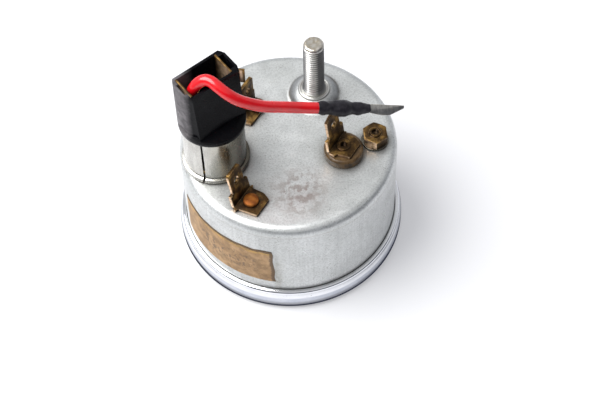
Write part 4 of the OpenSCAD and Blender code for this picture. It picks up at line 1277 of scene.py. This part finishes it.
dress("black_plastic", moulded("black_phenolic", (0.0015, 0.0015, 0.0022), (0.0045, 0.0045, 0.006), 0.24, 3,
                               0.012, 1, (0.012, 0.011, 0.011), (0.17, 0.16, 0.165), Specular_IOR_Level=0.08))
dress("red_pvc", moulded("red_pvc", (0.60, 0.003, 0.007), (0.76, 0.006, 0.012), 0.2, 4, 0.0015, 2,
                         Specular_IOR_Level=0.75))
dress("shrink_tube", moulded("black_tape", (0.006, 0.0055, 0.008), (0.018, 0.016, 0.021), 0.42, 1, 0.05, 3,
                             (0.045, 0.042, 0.042), Specular_IOR_Level=0.25))
dress("phenolic", moulded("brown_phenolic", (0.040, 0.022, 0.008), (0.15, 0.085, 0.030), 0.3, 1.5, 0.02, 4,
                          (0.26, 0.17, 0.08)))
dress("fibre", moulded("vulcanised_fibre", (0.30, 0.19, 0.10), (0.48, 0.33, 0.18), 0.6, 2, 0.02, 5))
dress("card", moulded("resistance_card", (0.30, 0.20, 0.10), (0.52, 0.38, 0.22), 0.7, 1, 0.02, 6))
dress("black_rubber", moulded("black_rubber", (0.012,) * 3, (0.03,) * 3, 0.7, 1, 0.01, 7))
dress("black_paint", moulded("matt_black_paint", (0.01, 0.01, 0.011), (0.018, 0.018, 0.02), 0.55, 0.8,
                             0.006, 8))
dress("pointer_paint", moulded("off_white_paint", (0.7, 0.68, 0.6), (0.84, 0.82, 0.74), 0.5, 1.5, 0.004, 9))


# %% [markdown]
# ## Paper
# The label is tan kraft paper gone orange, with stains, faded smudges where it was printed and dark torn
# edges. Its own UV map gives the distance from the edges.

# %% Kraft paper
def kraft_paper():
    f = Finish("kraft_paper", Roughness=0.62)
    paper = f.split(f.add("TexCoord").outputs["UV"])
    across, up = paper["X"], paper["Y"]
    f.colour = f.patchy(5, 6, 2, (0.3, (0.31, 0.175, 0.070)), (0.55, (0.47, 0.285, 0.13)),
                        (0.75, (0.60, 0.40, 0.21)), sharp=0.7)
    f.coat(0.7, f.patchy(0.35, 4, 4, (0.3, 0.75), (0.7, 1), stretch=(1, 1, 3)), "MULTIPLY")
    frayed = f.maths("ADD", up, f.times(f.grain(1.2, 4, 6), 0.1))
    f.coat(f.ramp(frayed, (0.90, 0), (0.96, 0.8)), (0.50, 0.29, 0.07))
    torn_end = f.maths("ADD", across, f.times(f.grain(0.8, 4, 16), 0.03))
    f.coat(f.ramp(torn_end, (0.98, 0), (0.995, 0.85)), (0.08, 0.045, 0.02))
    f.coat(f.ramp(frayed, (0.995, 0), (1, 0.9)), (0.09, 0.05, 0.02))
    f.coat(f.patchy(2.2, 5, 19, (0.42, 0.45), (0.56, 0), sharp=0.65), (0.13, 0.075, 0.03))
    printed = f.times(f.ramp(up, (0.2, 0), (0.3, 1), (0.62, 1), (0.75, 0)),
                      f.ramp(across, (0.2, 0), (0.3, 1), (0.8, 1), (0.9, 0)))
    smudge = f.patchy(1, 5, 9, (0.52, 0), (0.58, 0.7), stretch=(1, 1, 0.8))
    f.coat(f.times(smudge, printed), (0.12, 0.08, 0.05))
    return f.done(normal=f.relief(f.grain(0.6, 4, 3), 0.03))


dress("label_paper", kraft_paper())


# %% [markdown]
# ## Glass
# The cover glass and the bulb are clear glass: full transmission and a smooth surface, with a trace of
# dust that only shows in the roughness.

# %% Clear glass
def clear_glass():
    f = Finish("clear_glass", Transmission_Weight=1, IOR=1.46)
    dust = f.grain(2, 5, 3)
    f.colour = f.ramp(dust, (0.3, (0.93, 0.95, 0.95)), (0.7, (0.98, 0.99, 0.99)))
    return f.done(f.ramp(dust, (0.5, 0), (0.8, 0.06)))


dress("clear_glass", clear_glass())

# %% [markdown]
# ## Studio
# The photograph is a plain product shot on white paper, with one large soft light from the left. The
# floor shows itself nearly white to the camera and still catches the soft shadow. Mirrors see more of
# the room: a dark band low in front and on the right, which gives the chrome its navy edges, and close
# round the bezel the floor is dark to them, as its own shadow would be.

# %% Floor
FLOOR_GLOW = 0.36


def pale_floor():
    bm = bmesh.new()
    bmesh.ops.create_grid(bm, x_segments=1, y_segments=1, size=3)
    shift(bm, z=-0.0001)
    floor = shown("pale_floor", meshed(bm, "pale_floor"))
    material = bpy.data.materials.new("white_paper")
    floor.data.materials.append(material)
    f = Nodes(material)
    f.tree.nodes.clear()
    rays = f.add("LightPath").outputs
    seen = f.maths("MAXIMUM", rays["Is Camera Ray"], rays["Is Glossy Ray"])
    seen = f.maths("MAXIMUM", seen, rays["Is Transmission Ray"])
    near = f.times(f.ramp(f.ring(ORIGIN, 100), (0.285, 1), (0.31, 0)), rays["Is Glossy Ray"])
    paper = f.add("BsdfDiffuse", {"Color": (0.90, 0.90, 0.91, 1)})
    glow = f.add("Emission", {"Color": f.mixed(near, (0.99, 0.99, 1), (0.02, 0.025, 0.05)), "Strength": 1})
    share = f.maths("MAXIMUM", f.times(seen, FLOOR_GLOW), near)
    both = f.add("MixShader", {0: share, 1: paper.outputs[0], 2: glow.outputs[0]})
    f.add("OutputMaterial", {"Surface": both.outputs[0]})


pale_floor()

# %% Room and light
SKY = 0.34


def studio_room():
    """A pale room. Mirrors also see a dark band low in front and on the right, and a blue-grey horizon."""
    scene.world = bpy.data.worlds.new("studio_room")
    room = Nodes(scene.world)
    room.tree.nodes.clear()
    rays = room.add("LightPath").outputs
    ray = room.add("TexCoord").outputs["Generated"]
    up = room.split(ray)["Z"]
    band = room.times(room.ramp(up, (0.02, 0), (0.08, 1), (0.52, 1), (0.64, 0)),
                      room.ramp(room.turns(ray), (0.085, 0), (0.09, 1), (0.115, 1), (0.12, 0), (0.14, 0),
                                (0.15, 1), (0.5, 1), (0.56, 0)))
    walls = room.ramp(up, (0, (0.30, 0.33, 0.40)), (0.14, (0.55, 0.57, 0.60)), (0.5, (0.66, 0.67, 0.68)),
                      (1, 0.56))
    mirrored = room.mixed(band, walls, (0.022, 0.028, 0.05))
    colour = room.mixed(rays["Is Glossy Ray"], (SKY * 0.97, SKY, SKY * 1.12), mirrored)
    seen = room.maths("MAXIMUM", rays["Is Camera Ray"], rays["Is Transmission Ray"])
    backdrop = room.add("Background", {"Color": room.mixed(seen, colour, 1), "Strength": 1})
    room.add("OutputWorld", {"Surface": backdrop.outputs[0]})


def soft_light(place_mm, size, watts):
    """A disk of light, aimed at the middle of the cup."""
    light = bpy.data.lights.new("key", "AREA")
    light.shape = "DISK"
    light.size = size
    light.energy = watts
    obj = shown("key", light)
    obj.location = Vector(place_mm) * MM
    obj.rotation_euler = (Vector((0, 0, 20)) - Vector(place_mm)).to_track_quat("-Z", "Y").to_euler()


studio_room()
soft_light((-330, 20, 540), 0.6, 6.6)
scene.view_settings.view_transform = "Standard"
